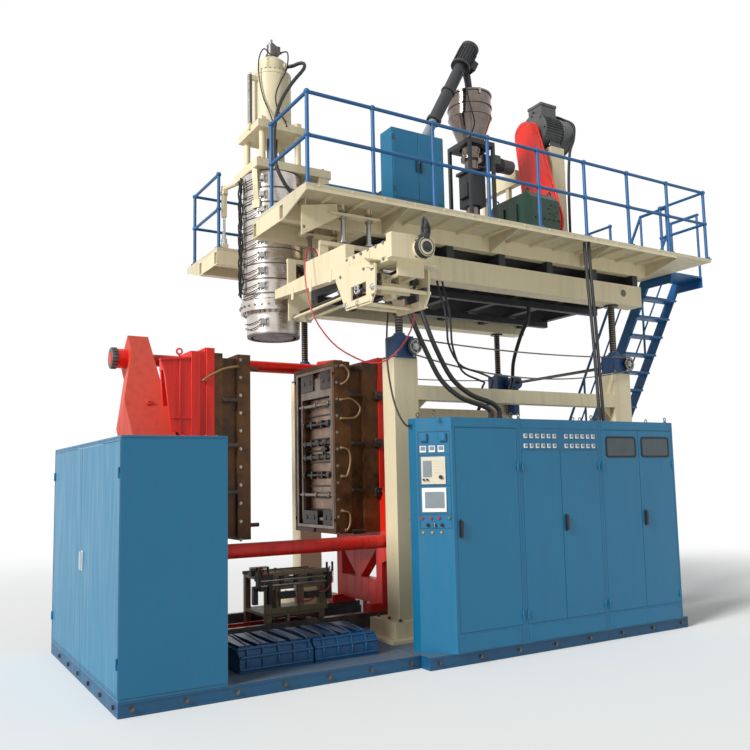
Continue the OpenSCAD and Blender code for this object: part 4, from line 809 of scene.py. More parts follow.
def makeHeadCylinder(work):
    rings = bmesh.new()
    low, high, reach = work["foot"]
    addRing(rings, (0, 0, 0), toTop, (work["body"] - 2, reach), (low, high), 56)
    addLathe(rings, (0, 0, 0), toTop, [(work["body"] - 4, 6146), (work["body"] + 5, 6152),
                                       (work["body"] + 5, 6188), (work["body"] - 4, 6193)], 56, closed=True)
    addRing(rings, (108, -108, 6290), (1, -1, 0), (28, 46), (0, 20), 24)
    makePiece("cylinderFlanges", rings, "creamPaint", "platform")
    addBolts("capBolts", "platform", ringOf((0, 0, 6190), toTop, 188, work["capBolts"])[0], toTop, 14, 20)
    addBolts("footBolts", "platform", ringOf((0, 0, high), toTop, 240, 12)[0], toTop, 13, 18)
    grid = work["rodGrid"]
    corners = [(x, y) for x in (-grid, grid) for y in (-grid, grid)]
    addBolts("rodNuts", "platform", [(x, y, 5530) for x, y in corners], toTop, 50, 52, "creamPaint")
    addBolts("rodLockNuts", "platform", [(x, y, 5080) for x, y in corners], toTop, 50, 30, "turnedSteel")
    addBolts("plateBolts", "platform", [(x, y, 5080) for x in (-280, 0, 280, 480) for y in (-290, 290)],
             toTop, 18, 16)
    top = bmesh.new()
    addLathe(top, (0, 0, 0), toTop, [(0, 6564), (34, 6564), (34, 6590), (12, 6600), (12, 6640), (0, 6640)],
             20)
    addBox(top, (18, 92), (-40, 34), (6470, 6560))
    addRod(top, (60, -3, 6510), (120, -3, 6510), 16, 12)
    addLathe(top, (0, 0, 0), toTop, [(49, 6420), (66, 6425), (66, 6450), (54, 6456), (54, 6566), (49, 6566)],
             28, closed=True)
    addRing(top, (-290, -60, 0), toTop, (21, 25), (5560, 6120), 20)
    makePiece("strokeSensor", top, "turnedSteel", "platform", bevel=2)
    wires = bmesh.new()
    addTube(wires, smoothRoute([(112, -6, 6510), (150, -90, 6490), (110, -200, 6330), (60, -240, 6160),
                                (0, -238, 6040), (-60, -236, 5860), (-40, -250, 5690), (30, -274, 5575),
                                (40, -296, 5500)], 4), 8, 8)
    addTube(wires, smoothRoute([(-40, -40, 6440), (-150, -130, 6430), (-216, -150, 6300), (-210, -124, 6120),
                                (-180, -160, 5860), (-140, -216, 5690), (-122, -270, 5560),
                                (-125, -298, 5500)], 4), 7, 8)
    makePiece("sensorWires", wires, "sealRubber", "platform")


makeHeadCylinder(cylinderWork)

barrelWork = {"bands": ((560, 860), (875, 1175), (1190, 1388), (1475, 1760), (1775, 2055), (2070, 2388),
                        (2474, 2712)), "axis": 4745, "outer": 188}


def makeBarrel(work):
    bands, boxes = bmesh.new(), bmesh.new()
    for low, high in work["bands"]:
        addBand(bands, (0, 0, work["axis"]), toRight, low, high, 178, work["outer"], 3)
        middle = (low + high) / 2
        addBox(boxes, (middle - 45, middle + 45), (-34, 34), (work["axis"] + 184, work["axis"] + 236))
        addRod(boxes, (middle + 45, 0, work["axis"] + 210), (middle + 70, 0, work["axis"] + 210), 13, 12)
    makePiece("barrelBands", bands, "bandStainless", "platform")
    makePiece("barrelTerminals", boxes, "machineBlack", "platform", bevel=2)
    collar = bmesh.new()
    addRing(collar, (0, 0, work["axis"]), toRight, (178, 206), (3380, 3424), 56)
    makePiece("barrelCollar", collar, "turnedSteel", "platform")
    addBolts("collarBolts", "platform", ringOf((3380, 0, work["axis"]), toRight, 193, 14)[0], toLeft, 10, 14)


makeBarrel(barrelWork)
print("head and barrel dressed")

# feeding and drive on the deck
hopperWork = {"x": 2830, "wall": 280, "rim": 6612, "throat": 90, "clips": 4}


def makeHopper(work):
    centre = (work["x"], 0, 0)
    rings = bmesh.new()
    wall, rim, throat = work["wall"], work["rim"], work["throat"]
    addLathe(rings, centre, toTop, [(wall - 3, rim - 16), (wall + 14, rim - 12), (wall + 14, rim + 10),
                                    (wall - 3, rim + 14)], 64, closed=True)
    addLathe(rings, centre, toTop, [(wall - 3, 6300), (wall + 5, 6304), (wall + 5, 6318), (wall - 3, 6322)],
             64, closed=True)
    for outer, low, high in ((48, 5776, 5792), (48, 5756, 5772), (40, 4936, 4970)):
        addRing(rings, centre, toTop, (throat - 4, throat + outer), (low, high), 48)
    makePiece("hopperRings", rings, "hopperStainless", "platform")
    addBolts("throatBolts", "platform", ringOf((work["x"], 0, 5792), toTop, throat + 30, 8)[0], toTop, 10, 12)
    points, away = ringOf((work["x"], 0, 6590), toTop, wall + 8, work["clips"], start=0.6)
    addBars("lidClips", "platform", "groundSteel", (74, 30, 22), points, away, toTop)
    gate = bmesh.new()
    addBox(gate, (work["x"] - 150, work["x"] + 150), (-150, 150), (5560, 5600))
    addBox(gate, (work["x"] - 118, work["x"] + 118), (-128, 128), (5120, 5560))
    addBox(gate, (work["x"] - 40, work["x"] + 40), (-240, -150), (5568, 5592))
    addRod(gate, (work["x"] - 70, -240, 5580), (work["x"] + 70, -240, 5580), 13, 12)
    addBox(gate, (work["x"] - 160, work["x"] - 118), (-90, 70), (5230, 5420))
    makePiece("slideGate", gate, "machineBlack", "platform", bevel=4)
    feeder = bmesh.new()
    addLathe(feeder, (0, 130, 5850), toRight,
             [(0, 3628), (70, 3628), (94, 3610), (94, 3440), (87, 3436), (0, 3436)], 32)
    addRing(feeder, (0, 130, 5850), toRight, (86, 112), (3090, 3116), 32)
    addBox(feeder, (3200, 3340), (10, 60), (5810, 5930))
    makePiece("feederMotorCaps", feeder, "motorGrey", "platform", bevel=2)
    points, away = ringOf((3280, 130, 5850), toRight, 92, 22)
    addBars("feederFins", "platform", "motorGrey", (300, 4, 16), points, away, toRight)
    conduit = bmesh.new()
    addTube(conduit, smoothRoute([(2440, -362, 6740), (2450, -392, 6600), (2520, -394, 6300),
                                  (2596, -380, 6100), (2616, -300, 5990), (2628, -216, 5940)], 3), 9, 8)
    makePiece("feederConduit", conduit, "sealRubber", "platform")


makeHopper(hopperWork)

loaderWork = {"low": (1150, -280, 4399), "high": (2650, -280, 7130), "fins": 22}


def makeLoader(work):
    low, high = Vector(work["low"]), Vector(work["high"])
    along = (high - low).normalized()
    reach = (high - low).length
    pipe = bmesh.new()
    addRing(pipe, low, along, (54, 58), (330, reach - 1290), 28)
    makePiece("suctionPipe", pipe, "pipeGrey", "platform")
    collars = bmesh.new()
    for at, radius, length in ((reach - 1290, 92, 44), (reach - 800, 90, 30), (reach - 360, 128, 30),
                               (330, 74, 40)):
        addRing(collars, low, along, (50, radius), (at, at + length), 32)
    addLathe(collars, low, along, [(90, reach - 60), (120, reach - 60), (120, reach - 8), (104, reach + 2),
                                   (60, reach + 4), (60, reach - 6)], 32, closed=True)
    sideways = along.cross(Vector(toBack))
    box = low + along * (reach - 210) + sideways * -150
    turn = Matrix.Translation(box) @ Matrix((
        (along.x, 0, sideways.x, 0), (along.y, 1, sideways.y, 0), (along.z, 0, sideways.z, 0), (0, 0, 0, 1)))
    addBox(collars, (-65, 65), (-48, 48), (-34, 44), turn)
    makePiece("loaderCollars", collars, "machineBlack", "platform")
    points, away = ringOf(low, along, 116, work["fins"], reach=reach - 190)
    addBars("loaderFins", "platform", "machineBlack", (226, 5, 18), points, away, tuple(along))


makeLoader(loaderWork)

gearWork = {"firstBolt": 3498, "covers": ((3600, 4800, 105), (3800, 5110, 84))}


def makeGearbox(work):
    covers = bmesh.new()
    for side in (-1, 1):
        for x, z, radius in work["covers"]:
            addLathe(covers, (x, side * 418, z), (0, side, 0),
                     [(0, 0), (radius, 0), (radius, 26), (radius * 0.6, 34), (0, 34)], 32)
    addLathe(covers, (3700, 0, 5350), toTop,
             [(0, 0), (30, 0), (30, 26), (46, 30), (46, 58), (30, 70), (0, 70)], 20)
    addBox(covers, (3560, 3840), (-190, 190), (5350, 5368))
    for x in (3500, 3890):
        for y in (-300, 300):
            addRing(covers, (x, y, 5384), toBack, (20, 34), (-9, 9), 20)
    makePiece("gearCovers", covers, "gearGreen", "platform", bevel=2)
    points, facing = [], []
    for side in (-1, 1):
        for z in (4660, 4980):
            for i in range(6):
                points.append((work["firstBolt"] + 80 * i, side * 450, z))
                facing.append((0, side, 0))
        for x, z, radius in work["covers"]:
            points += ringOf((x, side * 444, z), toBack, radius - 14, 6)[0]
            facing += [(0, side, 0)] * 6
    addBolts("gearBolts", "platform", points, facing, 12, 14, "gearGreen")
    addBolts("gearLidBolts", "platform",
             [(x, y, 5368) for x in (3580, 3700, 3820) for y in (-170, 170)], toTop, 10, 10)
    addBolts("gearFootBolts", "platform",
             [(x, y, 4385) for x in (3450, 3696, 3910) for y in (-435, 435)], toTop, 18, 16)
    gauge = bmesh.new()
    for side in (-1, 1):
        addLathe(gauge, (3520, side * 450, 4560), (0, side, 0),
                 [(0, 0), (26, 0), (26, 12), (16, 16), (0, 16)], 20)
    makePiece("oilGauges", gauge, "groundSteel", "platform")


makeGearbox(gearWork)

motorWork = {"axisY": 215, "axisZ": 6500, "radius": 240, "fins": 40, "body": (4150, 4480)}


def makeMotor(work):
    y, z, radius = work["axisY"], work["axisZ"], work["radius"]
    low, high = work["body"]
    points, away = ringOf(((low + high) / 2, y, z), toRight, radius + 10, work["fins"])
    addBars("motorFins", "platform", "motorGrey", (high - low, 6, 30), points, away, toRight)
    shells = bmesh.new()
    for at, wide, outer in ((4128, 34, radius + 24), (4484, 30, radius + 26), (4650, 24, 268)):
        addRing(shells, (0, y, z), toRight, (radius - 20, outer), (at, at + wide), 56)
    addBox(shells, (4180, 4480), (y - 140, y + 140), (6884, 6922))
    addBox(shells, (4468, 4520), (y - 40, y + 40), (6750, 6850))
    addRing(shells, (4156, y, 6790), toBack, (18, 34), (-10, 10), 20)
    makePiece("motorShells", shells, "motorGrey", "platform", bevel=2)
    grille = bmesh.new()
    for ring in range(50, 240, 26):
        addRing(grille, (0, y, z), toRight, (ring, ring + 10), (4668, 4676), 40)
    makePiece("fanGrille", grille, "machineBlack", "platform")
    points, away = ringOf((4674, y, z), toRight, 125, 8)
    addBars("grilleSpokes", "platform", "machineBlack", (220, 9, 6), points, toRight, away)
    addBolts("motorBolts", "platform", ringOf((4128, y, z), toRight, radius + 4, 8)[0], toLeft, 14, 14)
    addBolts("motorFootBolts", "platform",
             [(x, y + side, 6275) for x in (4265, 4455) for side in (-190, 190)], toTop, 16, 16)
    cable = bmesh.new()
    addTube(cable, smoothRoute([(4516, y, 6800), (4590, y - 10, 6830), (4660, y - 80, 6780),
                                (4700, -20, 6640), (4640, -70, 6400), (4560, -60, 6180), (4520, -50, 5700),
                                (4505, -46, 4800), (4505, -44, 4345)], 4), 20, 10)
    addLathe(cable, (4505, -44, deckTop), toTop, [(0, 0), (34, 0), (34, 20), (24, 26), (0, 26)], 20)
    makePiece("motorCable", cable, "sealRubber", "platform")


makeMotor(motorWork)

guardWork = {"upper": (215, 6440, 175), "lower": (-70, 5050, 290), "x": (3945, 4070), "lip": 12}


def hullOutline(first, second, grow, count=20):
    # outline round two circles in y and z, the first one above
    (ya, za, ra), (yb, zb, rb) = first, second
    span = Vector((yb - ya, zb - za))
    heading = span.to_2d().angle_signed(Vector((1, 0)))
    spread = pi / 2 + asin((rb - ra) / span.length)
    points = []
    for (y, z, r), a0, a1 in ((first, spread, 2 * pi - spread), (second, -spread, spread)):
        for i in range(count + 1):
            a = heading + a0 + (a1 - a0) * i / count
            points.append((y + (r + grow) * cos(a), z + (r + grow) * sin(a)))
    return points


def makeGuard(work):
    lip = bmesh.new()
    outer = hullOutline(work["upper"], work["lower"], work["lip"])
    inner = hullOutline(work["upper"], work["lower"], -10)
    low, high = work["x"]
    addPlate(lip, "x", (high - 26, high + 4), outer, inner)
    addPlate(lip, "x", (low - 3, low + 3), hullOutline(work["upper"], work["lower"], -24),
             hullOutline(work["upper"], work["lower"], -40))
    makePiece("guardLip", lip, "guardRed", "platform", bevel=2)
    points = [(low - 2, y, z) for y, z in hullOutline(work["upper"], work["lower"], -32, 9)[::2]]
    addBolts("guardScrews", "platform", points, toLeft, 10, 10, "groundSteel")
    shaft = bmesh.new()
    addLathe(shaft, (3935, -70, 5050), toRight, [(118, -4), (140, 0), (140, 10), (118, 10)], 32, closed=True)
    makePiece("guardCollar", shaft, "guardRed", "platform")


makeGuard(guardWork)
print("hopper, loader, gearbox and motor dressed")


# clamp: mould frames and inserts, brass pipes, platen ridges, bolts
def makeMouldFace(sign, body, label):
    # light frame round the slide-in insert, dark window in its middle and its cross bars
    def flat(low, high):
        return (min(sign * low, sign * high), max(sign * low, sign * high))

    rim = bmesh.new()
    addPlate(rim, "x", flat(477, 500), rectangle((-438, 438), (1137, 2873)),
             rectangle((-404, 404), (1172, 2838)))
    addPlate(rim, "x", flat(500, 532), rectangle((-360, 360), (1220, 2780)),
             rectangle((-332, 332), (1252, 2560)))
    for height in (2480, 1494):
        addRod(rim, (sign * 508, 404, height), (sign * 508, -404, height), 20, 16)
        for place in (-300, 0, 300):
            addRod(rim, (sign * 508, place - 22, height), (sign * 508, place + 22, height), 30, 16)
    makePiece("mouldRim" + label, rim, "barSteel", body, bevel=4)
    lining = bmesh.new()
    addPlate(lining, "x", flat(528, 534), rectangle((-436, 436), (1139, 2871)),
             rectangle((-331, 331), (1251, 2561)))
    addPlate(lining, "x", flat(582, 584.5), rectangle((-326, 326), (1256, 2554)))
    makePiece("mouldLining" + label, lining, "cavitySteel", body)
    blocks = bmesh.new()
    for low, high, bottom, top in ((29, 328, 2645, 2836), (-402, -148, 2641, 2836), (-48, 315, 1174, 1323),
                                   (-402, -173, 1174, 1334)):
        addBox(blocks, flat(484, 530), (low, high), (bottom, top))
        for across in (0.25, 0.75):
            middle = low + across * (high - low)
            addRod(blocks, (sign * 478, middle, (bottom + top) / 2),
                   (sign * 486, middle, (bottom + top) / 2), 26, 16)
    for height in (2267, 1710):
        addRod(blocks, (sign * 515, -326, height), (sign * 515, 326, height), 15, 14)
        for place in (-290, 290):
            addRod(blocks, (sign * 515, place - 34, height), (sign * 515, place + 34, height), 38, 18)
        for place in (-120, 120):
            addBox(blocks, flat(500, 560), (place - 18, place + 18), (height - 40, height + 40))
    for height in (2059, 1906):
        addBox(blocks, flat(498, 530), (-326, 326), (height - 19, height + 19))
        for place in (-230, -60, 110, 260):
            addBox(blocks, flat(492, 536), (place - 16, place + 16), (height - 34, height + 34))
    for i in range(6):
        angle = pi * i / 3
        addRod(blocks, (sign * 500, -204, 1989),
               (sign * 500, -204 + 66 * cos(angle), 1989 + 66 * sin(angle)), 13, 10)
    addRod(blocks, (sign * 488, -204, 1989), (sign * 545, -204, 1989), 34, 18)
    for height in range(1330, 2540, 130):
        addBox(blocks, flat(560, 584), (-320, 320), (height - 8, height + 8))
    makePiece("mouldInsert" + label, blocks, "pinchIron", body, bevel=3)
    screws = [(sign * 528, place, height) for height in range(1190, 2860, 202) for place in (-386, 386)]
    addBolts("mouldScrews" + label, body, screws, (-sign, 0, 0), 10, 10, "groundSteel")


def makeMouldPipes():
    # brass cooling pipes that loop out of the right mould's side, and their nipples
    pipes = bmesh.new()
    for route in ([(562, platenSide, 2866), (562, -515, 2866), (600, -520, 2850), (640, -520, 2790),
                   (620, -520, 2720), (562, -515, 2670), (562, platenSide, 2670)],
                  [(549, platenSide, 2500), (549, -515, 2500), (660, -520, 2510), (760, -520, 2440),
                   (766, -520, 2380), (700, -520, 2310), (549, -515, 2300), (549, platenSide, 2300)],
                  [(549, platenSide, 1988), (549, -512, 1988), (620, -520, 1960), (640, -520, 1850),
                   (600, -520, 1703), (549, -512, 1690), (549, platenSide, 1690)],
                  [(549, platenSide, 1328), (549, -512, 1328), (620, -520, 1300), (625, -520, 1200),
                   (593, -515, 1129), (593, platenSide, 1129)]):
        addTube(pipes, smoothRoute(route, 5), 11, 10)
    makePiece("mouldPipes", pipes, "brassPipe", "clamp_right", sharp=60)
    nipples = bmesh.new()
    for x, z in ((562, 2866), (562, 2670), (549, 2500), (549, 2300), (549, 1988), (549, 1690),
                 (549, 1328), (593, 1129)):
        addLathe(nipples, (x, platenSide, z), toFront, [(20, -2), (20, 8), (15, 10), (15, 22), (0, 22)], 6)
    makePiece("pipeNipples", nipples, "groundSteel", "clamp_right")
    ribs = bmesh.new()
    for height in (1100, 1540, 2040, 2560, 2850):
        addBox(ribs, (672, 826), (-500, -482), (height - 17, height + 17))
    for x, z in ((1010, 2557), (997, 2043), (984, 1514)):
        addBox(ribs, (x - 42, x + 42), (-530, -480), (z - 46, z + 46))
        addRod(ribs, (x, -530, z), (x, -548, z), 20, 14)
    makePiece("mouldClampsRight", ribs, "pinchIron", "clamp_right", bevel=4)
    ridges = bmesh.new()
    for height in (2458, 2015, 1558):
        addBox(ridges, (-766, -612), (-502, -482), (height - 20, height + 20))
    makePiece("mouldRibsLeft", ridges, "pinchIron", "clamp_left", bevel=4)
    ridges = bmesh.new()
    for low, high, top in ((-1088, -996, 2915), (-936, -856, 2955)):
        addBox(ridges, (low, high), (-500, -482), (920, top))
    addBox(ridges, (-1200, -1186), (-496, -482), (2110, 2845))
    addBox(ridges, (-1270, -1092), (-496, -482), (2262, 2276))
    addPlate(ridges, "y", (-500, -482), [(-1092, 2842), (-1092, 2862), (-1391, 2832), (-1388, 2812)])
    makePiece("platenRidges", ridges, "clampRed", "clamp_left", bevel=3)
    addBolts("mouldSideBolts", "clamp_left", [(-580, platenSide, 1092 + 177 * i) for i in range(11)], toFront,
             12, 12, "groundSteel")
    addBolts("mouldSideBoltsRight", "clamp_right", [(503, platenSide, 1092 + 177 * i) for i in range(11)],
             toFront, 12, 12, "groundSteel")
    line = bmesh.new()
    addTube(line, smoothRoute([(-620, platenSide, 2790), (-620, -512, 2790), (-760, -522, 2760),
                               (-900, -522, 2690), (-970, -512, 2640), (-970, platenSide, 2640)], 5), 12, 10)
    makePiece("mouldPipeLeft", line, "brassPipe", "clamp_left", sharp=60)


for sideSign, sideBody, sideLabel in ((-1, "clamp_left", "Left"), (1, "clamp_right", "Right")):
    makeMouldFace(sideSign, sideBody, sideLabel)
makeMouldPipes()
print("clamp dressed")


# blow station: cross rails, dark slides and arms, springs, hoses; moulded panel: ridges
def makeStation():
    cream, dark, metal, red = (bmesh.new() for _ in range(4))
    addPlate(cream, "y", (-318, -300), rectangle((-259, 446), (322, 640)),
             rectangle((-200, 390), (380, 600)))
    for x in (-130, 112, 152):
        addBox(cream, (x, x + 26), (-316, -302), (380, 600))
    for low, high in ((-259, -150), (-100, 60), (150, 446)):
        addBox(cream, (low, high), (-330, -318), (560, 600))
    addBox(cream, (-300, 470), (-340, -300), (700, 740))
    for y in (-200, 0, 170):
        addBox(cream, (-300, 470), (y - 16, y + 16), (682, 716))
    # the frame takes the darker station cream, which is painted shade
    makePiece("stationFrame", cream, "stationCreamShaded", "frame", bevel=3)
    for low, high, y, z in ((-366, -180, -330, (660, 720)), (-360, -220, -180, (700, 760)),
                            (-366, -330, -360, (600, 760)), (-330, -280, -330, (560, 660)),
                            (-240, -200, -350, (430, 660)), (420, 470, -350, (430, 700)),
                            (-120, 60, -335, (470, 540)), (180, 330, -335, (450, 520)),
                            (430, 524, -260, (640, 690)), (-360, -310, -240, (420, 600))):
        addBox(dark, (low, high), (y - 30, y + 30), z)
    for x in (-350, -300, -230, 440, 505):
        addRod(dark, (x, -330, 700), (x, -330, 800), 12, 12)
    for x in (-80, 80, 240):
        addBox(dark, (x - 20, x + 20), (-350, -310), (600, 700))
    makePiece("stationSlides", dark, "machineBlack", "frame", bevel=3)
    for z in (610, 660):
        addRod(metal, (-366, -352, z), (470, -352, z), 11, 16)
    for x in (-345, -290, 470, 500):
        addTube(metal, [Vector((x + 16 * cos(i * 0.7), -330 + 16 * sin(i * 0.7), 580 + 2.4 * i))
                        for i in range(60)], 3, 6)
    addRod(metal, (-366, -180, 776), (-180, -180, 776), 14, 16)
    addRod(metal, (-30, -360, 310), (-30, -360, 240), 22, 16)
    makePiece("stationRods", metal, "groundSteel", "frame", sharp=50)
    for route in ([(330, -345, 500), (400, -390, 520), (470, -380, 600), (500, -320, 660), (520, -290, 690)],
                  [(60, -345, 500), (110, -380, 450), (180, -390, 430), (260, -370, 450), (300, -345, 480)],
                  [(505, -250, 690), (520, -240, 740), (526, -200, 640), (522, -160, 480), (490, -120, 330)],
                  [(-350, -330, 740), (-335, -390, 780), (-310, -380, 730), (-290, -340, 660)]):
        addTube(red, smoothRoute(route, 5), 8, 8)
    makePiece("stationHoses", red, "airTube", "frame", sharp=60)
    addBolts("stationScrews", "frame", ringOf((0, 0, 681), toTop, 90, 6)[0], toTop, 10, 10, "groundSteel")


def makePanelSkin():
    # rounded ridges that run slantwise over the moulded guard, and its gutter along the front edge
    skin = bmesh.new()
    for i in range(9):
        x = -1000 + 140 * i
        if abs(x + 386) < 40:
            continue
        addTube(skin, smoothRoute([(x, -1655, 160), (x + 4, -1655, 215), (x + 12, -1622, 268),
                                   (x + 22, -1584, 294), (x + 40, -1500, 314), (x + 90, -1080, 314),
                                   (x + 96, -1040, 292)], 3), 11, 10)
    for low, high in ((-1052, -402), (-370, 244)):
        addTube(skin, [(low, -1648, 140), (high, -1648, 140)], 12, 10)
        addTube(skin, [(low, -1648, 236), (high, -1648, 236)], 14, 10)
        addTube(skin, [(low, -1588, 292), (high, -1588, 292)], 14, 10)
    makePiece("panelRidges", skin, "polyBlue", "frame", sharp=60)


makeStation()
makePanelSkin()
print("station dressed")


# parison beam and carriage: holed bracket, rods with collars, drive motor, rail plate, cylinder, hoses
def makeBeamTrim():
    plate = bmesh.new()
    outline = [(-349, 3919), (-345, 4207), (38, 4279), (35, 4141)]
    addPlate(plate, "y", (-1416, -1404), outline, [(-332, 3990), (-332, 4022), (-300, 4022), (-300, 3990)])
    addPlate(plate, "y", (-1440, -1428), [(-60, 4168), (-60, 4192), (500, 4192), (500, 4168)])
    for x in (-300, 100, 420):
        addPlate(plate, "x", (x, x + 12), [(-1404, 4200), (-1404, 4060), (-1240, 4284), (-1404, 4284)])
    for y in (-2560, -2280, -1930, -1600, -1200, -800):
        addPlate(plate, "x", (-156, -150), rectangle((y - 26, y + 26), (3450, 3570)))
    addPlate(plate, "z", (3434, 3446), [(-305, -2467), (382, -2538), (515, -2383), (-23, -2226)])
    makePiece("beamPlates", plate, "creamPaint", "platform", bevel=2)
    rods = bmesh.new()
    for y in (-1390, -680):
        for x in (110, 398):
            addLathe(rods, (x, y, 0), toTop, [(16.4, 3905), (24, 3906), (24, 4155), (16.4, 4156)],
                     20, closed=True)
            for z in (3906, 4142, 4206):
                addLathe(rods, (x, y, z), toTop, [(17, 0), (40, 2), (40, 22), (17, 24)], 24, closed=True)
    for x in (0, 170):
        for y in (-2562, -544):
            addLathe(rods, (x, y, 3330), toBack, [(16.4, 0), (34, 2), (34, 20), (16.4, 22)], 20, closed=True)
    makePiece("beamRods", rods, "groundSteel", "platform", bevel=1.5)
    motor = bmesh.new()
    addLathe(motor, (115, -2760, 3515), toFront,
             [(84, -60), (84, -2), (66, 2), (66, -6), (46, -6), (46, 10), (22, 12), (22, 22), (0, 22)], 32)
    for i in range(14):
        angle = 2 * pi * i / 14
        addRod(motor, (115 + 82 * cos(angle), -2700, 3515 + 82 * sin(angle)),
               (115 + 82 * cos(angle), -2752, 3515 + 82 * sin(angle)), 6, 6)
    for y in (-2745, -2700):
        addBox(motor, (88, 142), (y - 20, y + 20), (3585, 3628))
        addRod(motor, (115, y, 3626), (115, y, 3660), 15, 14)
    addBox(motor, (60, 170), (-2672, -2660), (3440, 3590))
    makePiece("beamMotor", motor, "machineBlack", "platform", bevel=2)
    hoses = bmesh.new()
    for y, bend in ((-2745, 90), (-2700, 40)):
        addTube(hoses, smoothRoute([(115, y, 3655), (115, y - 8, 3730), (170, y + bend, 3790),
                                    (300, y + bend + 120, 3740), (360, -2380, 3640), (330, -2300, 3560),
                                    (250, -2260, 3500), (230, -2250, 3440)], 5), 13, 10)
    makePiece("beamHoses", hoses, "rubberHose", "platform", sharp=60)
    rack = bmesh.new()
    addBox(rack, (60, 84), (-2560, -530), (3388, 3404))
    teeth = [(72, -2540 + 22 * i, 3386) for i in range(92)]
    makePiece("beamRack", rack, "turnedSteel", "platform", bevel=1)
    addBars("beamRackTeeth", "platform", "turnedSteel", (20, 10, 9), teeth, [toFloor] * 92, [toRight] * 92)
    addBolts("beamBolts", "platform", [(-150, y, z) for y in range(-2520, -1900, 120) for z in (3440, 3575)],
             toLeft, 12, 12, "groundSteel")


def makeCarriageTrim():
    metal, paint, dark, red = (bmesh.new() for _ in range(4))
    addRod(metal, (12, -2212, 3425), (380, -2212, 3425), 20, 20)
    addRod(metal, (380, -2212, 3425), (473, -2212, 3425), 9, 14)
    for x in (12, 372):
        addBox(metal, (x - 10, x + 12), (-2236, -2188), (3401, 3449))
    for k in ((-2440, 3220), (-1990, 3150), (-2200, 3130)):
        for x in (-212, 338):
            addLathe(metal, (x, k[0], k[1]), (-1 if x < 0 else 1, 0, 0),
                     [(30, -2), (30, 8), (20, 10), (20, 22), (0, 22)], 6)
    addLathe(metal, (-210, -2200, 3245), toLeft, [(24, 0), (40, 2), (40, 20), (24, 22)], 24, closed=True)
    makePiece("carriageMetal", metal, "chromeSteel", "carriage", bevel=1.5)
    for x in (-222, 336):
        addPlate(paint, "x", (x, x + 12), [(-2475, 3392), (-2350, 3432), (-2345, 3404), (-2462, 3366)])
        addPlate(paint, "x", (x, x + 12), [(-1992, 3120), (-2400, 3108), (-2396, 3130), (-1998, 3142)])
    addBox(paint, (-60, 230), (-2330, -2300), (3210, 3300))
    addBox(paint, (60, 110), (-2300, -2160), (3180, 3220))
    makePiece("carriagePlates", paint, "creamPaint", "carriage", bevel=2)
    for x, y in ((-120, -2350), (260, -2350), (-120, -2050), (260, -2050)):
        addBox(dark, (x - 32, x + 32), (y - 26, y + 26), (3300, 3360))
        addRod(dark, (x, y, 3290), (x, y, 3270), 14, 14)
    for x in (-150, 300):
        addBox(dark, (x - 16, x + 16), (-2460, -2040), (3238, 3262))
    addBox(dark, (-100, 240), (-2266, -2236), (3290, 3330))
    makePiece("carriageBlocks", dark, "machineBlack", "carriage", bevel=3)
    for route in ([(20, -2212, 3448), (20, -2212, 3500), (-60, -2260, 3520), (-120, -2330, 3440),
                   (-120, -2350, 3358)],
                  [(372, -2212, 3448), (372, -2212, 3510), (320, -2270, 3520), (270, -2340, 3430),
                   (260, -2350, 3358)], [(-120, -2076, 3330), (-120, -1960, 3290), (0, -1930, 3240),
                                         (140, -1960, 3290), (260, -2020, 3340)]):
        addTube(red, smoothRoute(route, 5), 6, 8)
    makePiece("carriageHoses", red, "airTube", "carriage", sharp=60)
    addBolts("carriageBolts", "carriage",
             [(-210, y, z) for y, z in ((-2430, 3370), (-2300, 3400), (-1900, 3420), (-1860, 3300),
                                        (-2440, 3150), (-2300, 3120), (-2060, 3125))], toLeft, 12,
             10, "groundSteel")


makeBeamTrim()
makeCarriageTrim()
print("beam dressed")


# cabinets: meters, panel trim, windows, rosettes, strips, eye bolts, louvres
front, back, half = -2097, -1747, 2 ** -0.5
panelTurn = Matrix(((half, -half, 0, 565), (-half, -half, 0, -1865), (0, 0, 1, 0), (0, 0, 0, 1)))


def addMeter(frames, faces, x, z, y=front, turn=None, reach=30):
    # square panel meter: white bezel standing off the sheet with a grey scale behind its glass
    sign = 1 if turn else -1
    near, far = (y, y + sign * 9)
    addBox(frames, (x - reach, x + reach), (min(near, far), max(near, far)), (z - reach, z + reach), turn)
    near, far = (y + sign * 8, y + sign * 11)
    addBox(faces, (x - 0.7 * reach, x + 0.7 * reach), (min(near, far), max(near, far)),
           (z - 0.4 * reach, z + 0.75 * reach), turn)


def roundedOutline(x, z, radius=26, count=5):
    centres = ((x[1] - radius, z[1] - radius, 0), (x[0] + radius, z[1] - radius, 90),
               (x[0] + radius, z[0] + radius, 180), (x[1] - radius, z[0] + radius, 270))
    return [(a + radius * cos(radians(start + 90 * i / count)),
             b + radius * sin(radians(start + 90 * i / count))) for a, b, start in centres
            for i in range(count + 1)]


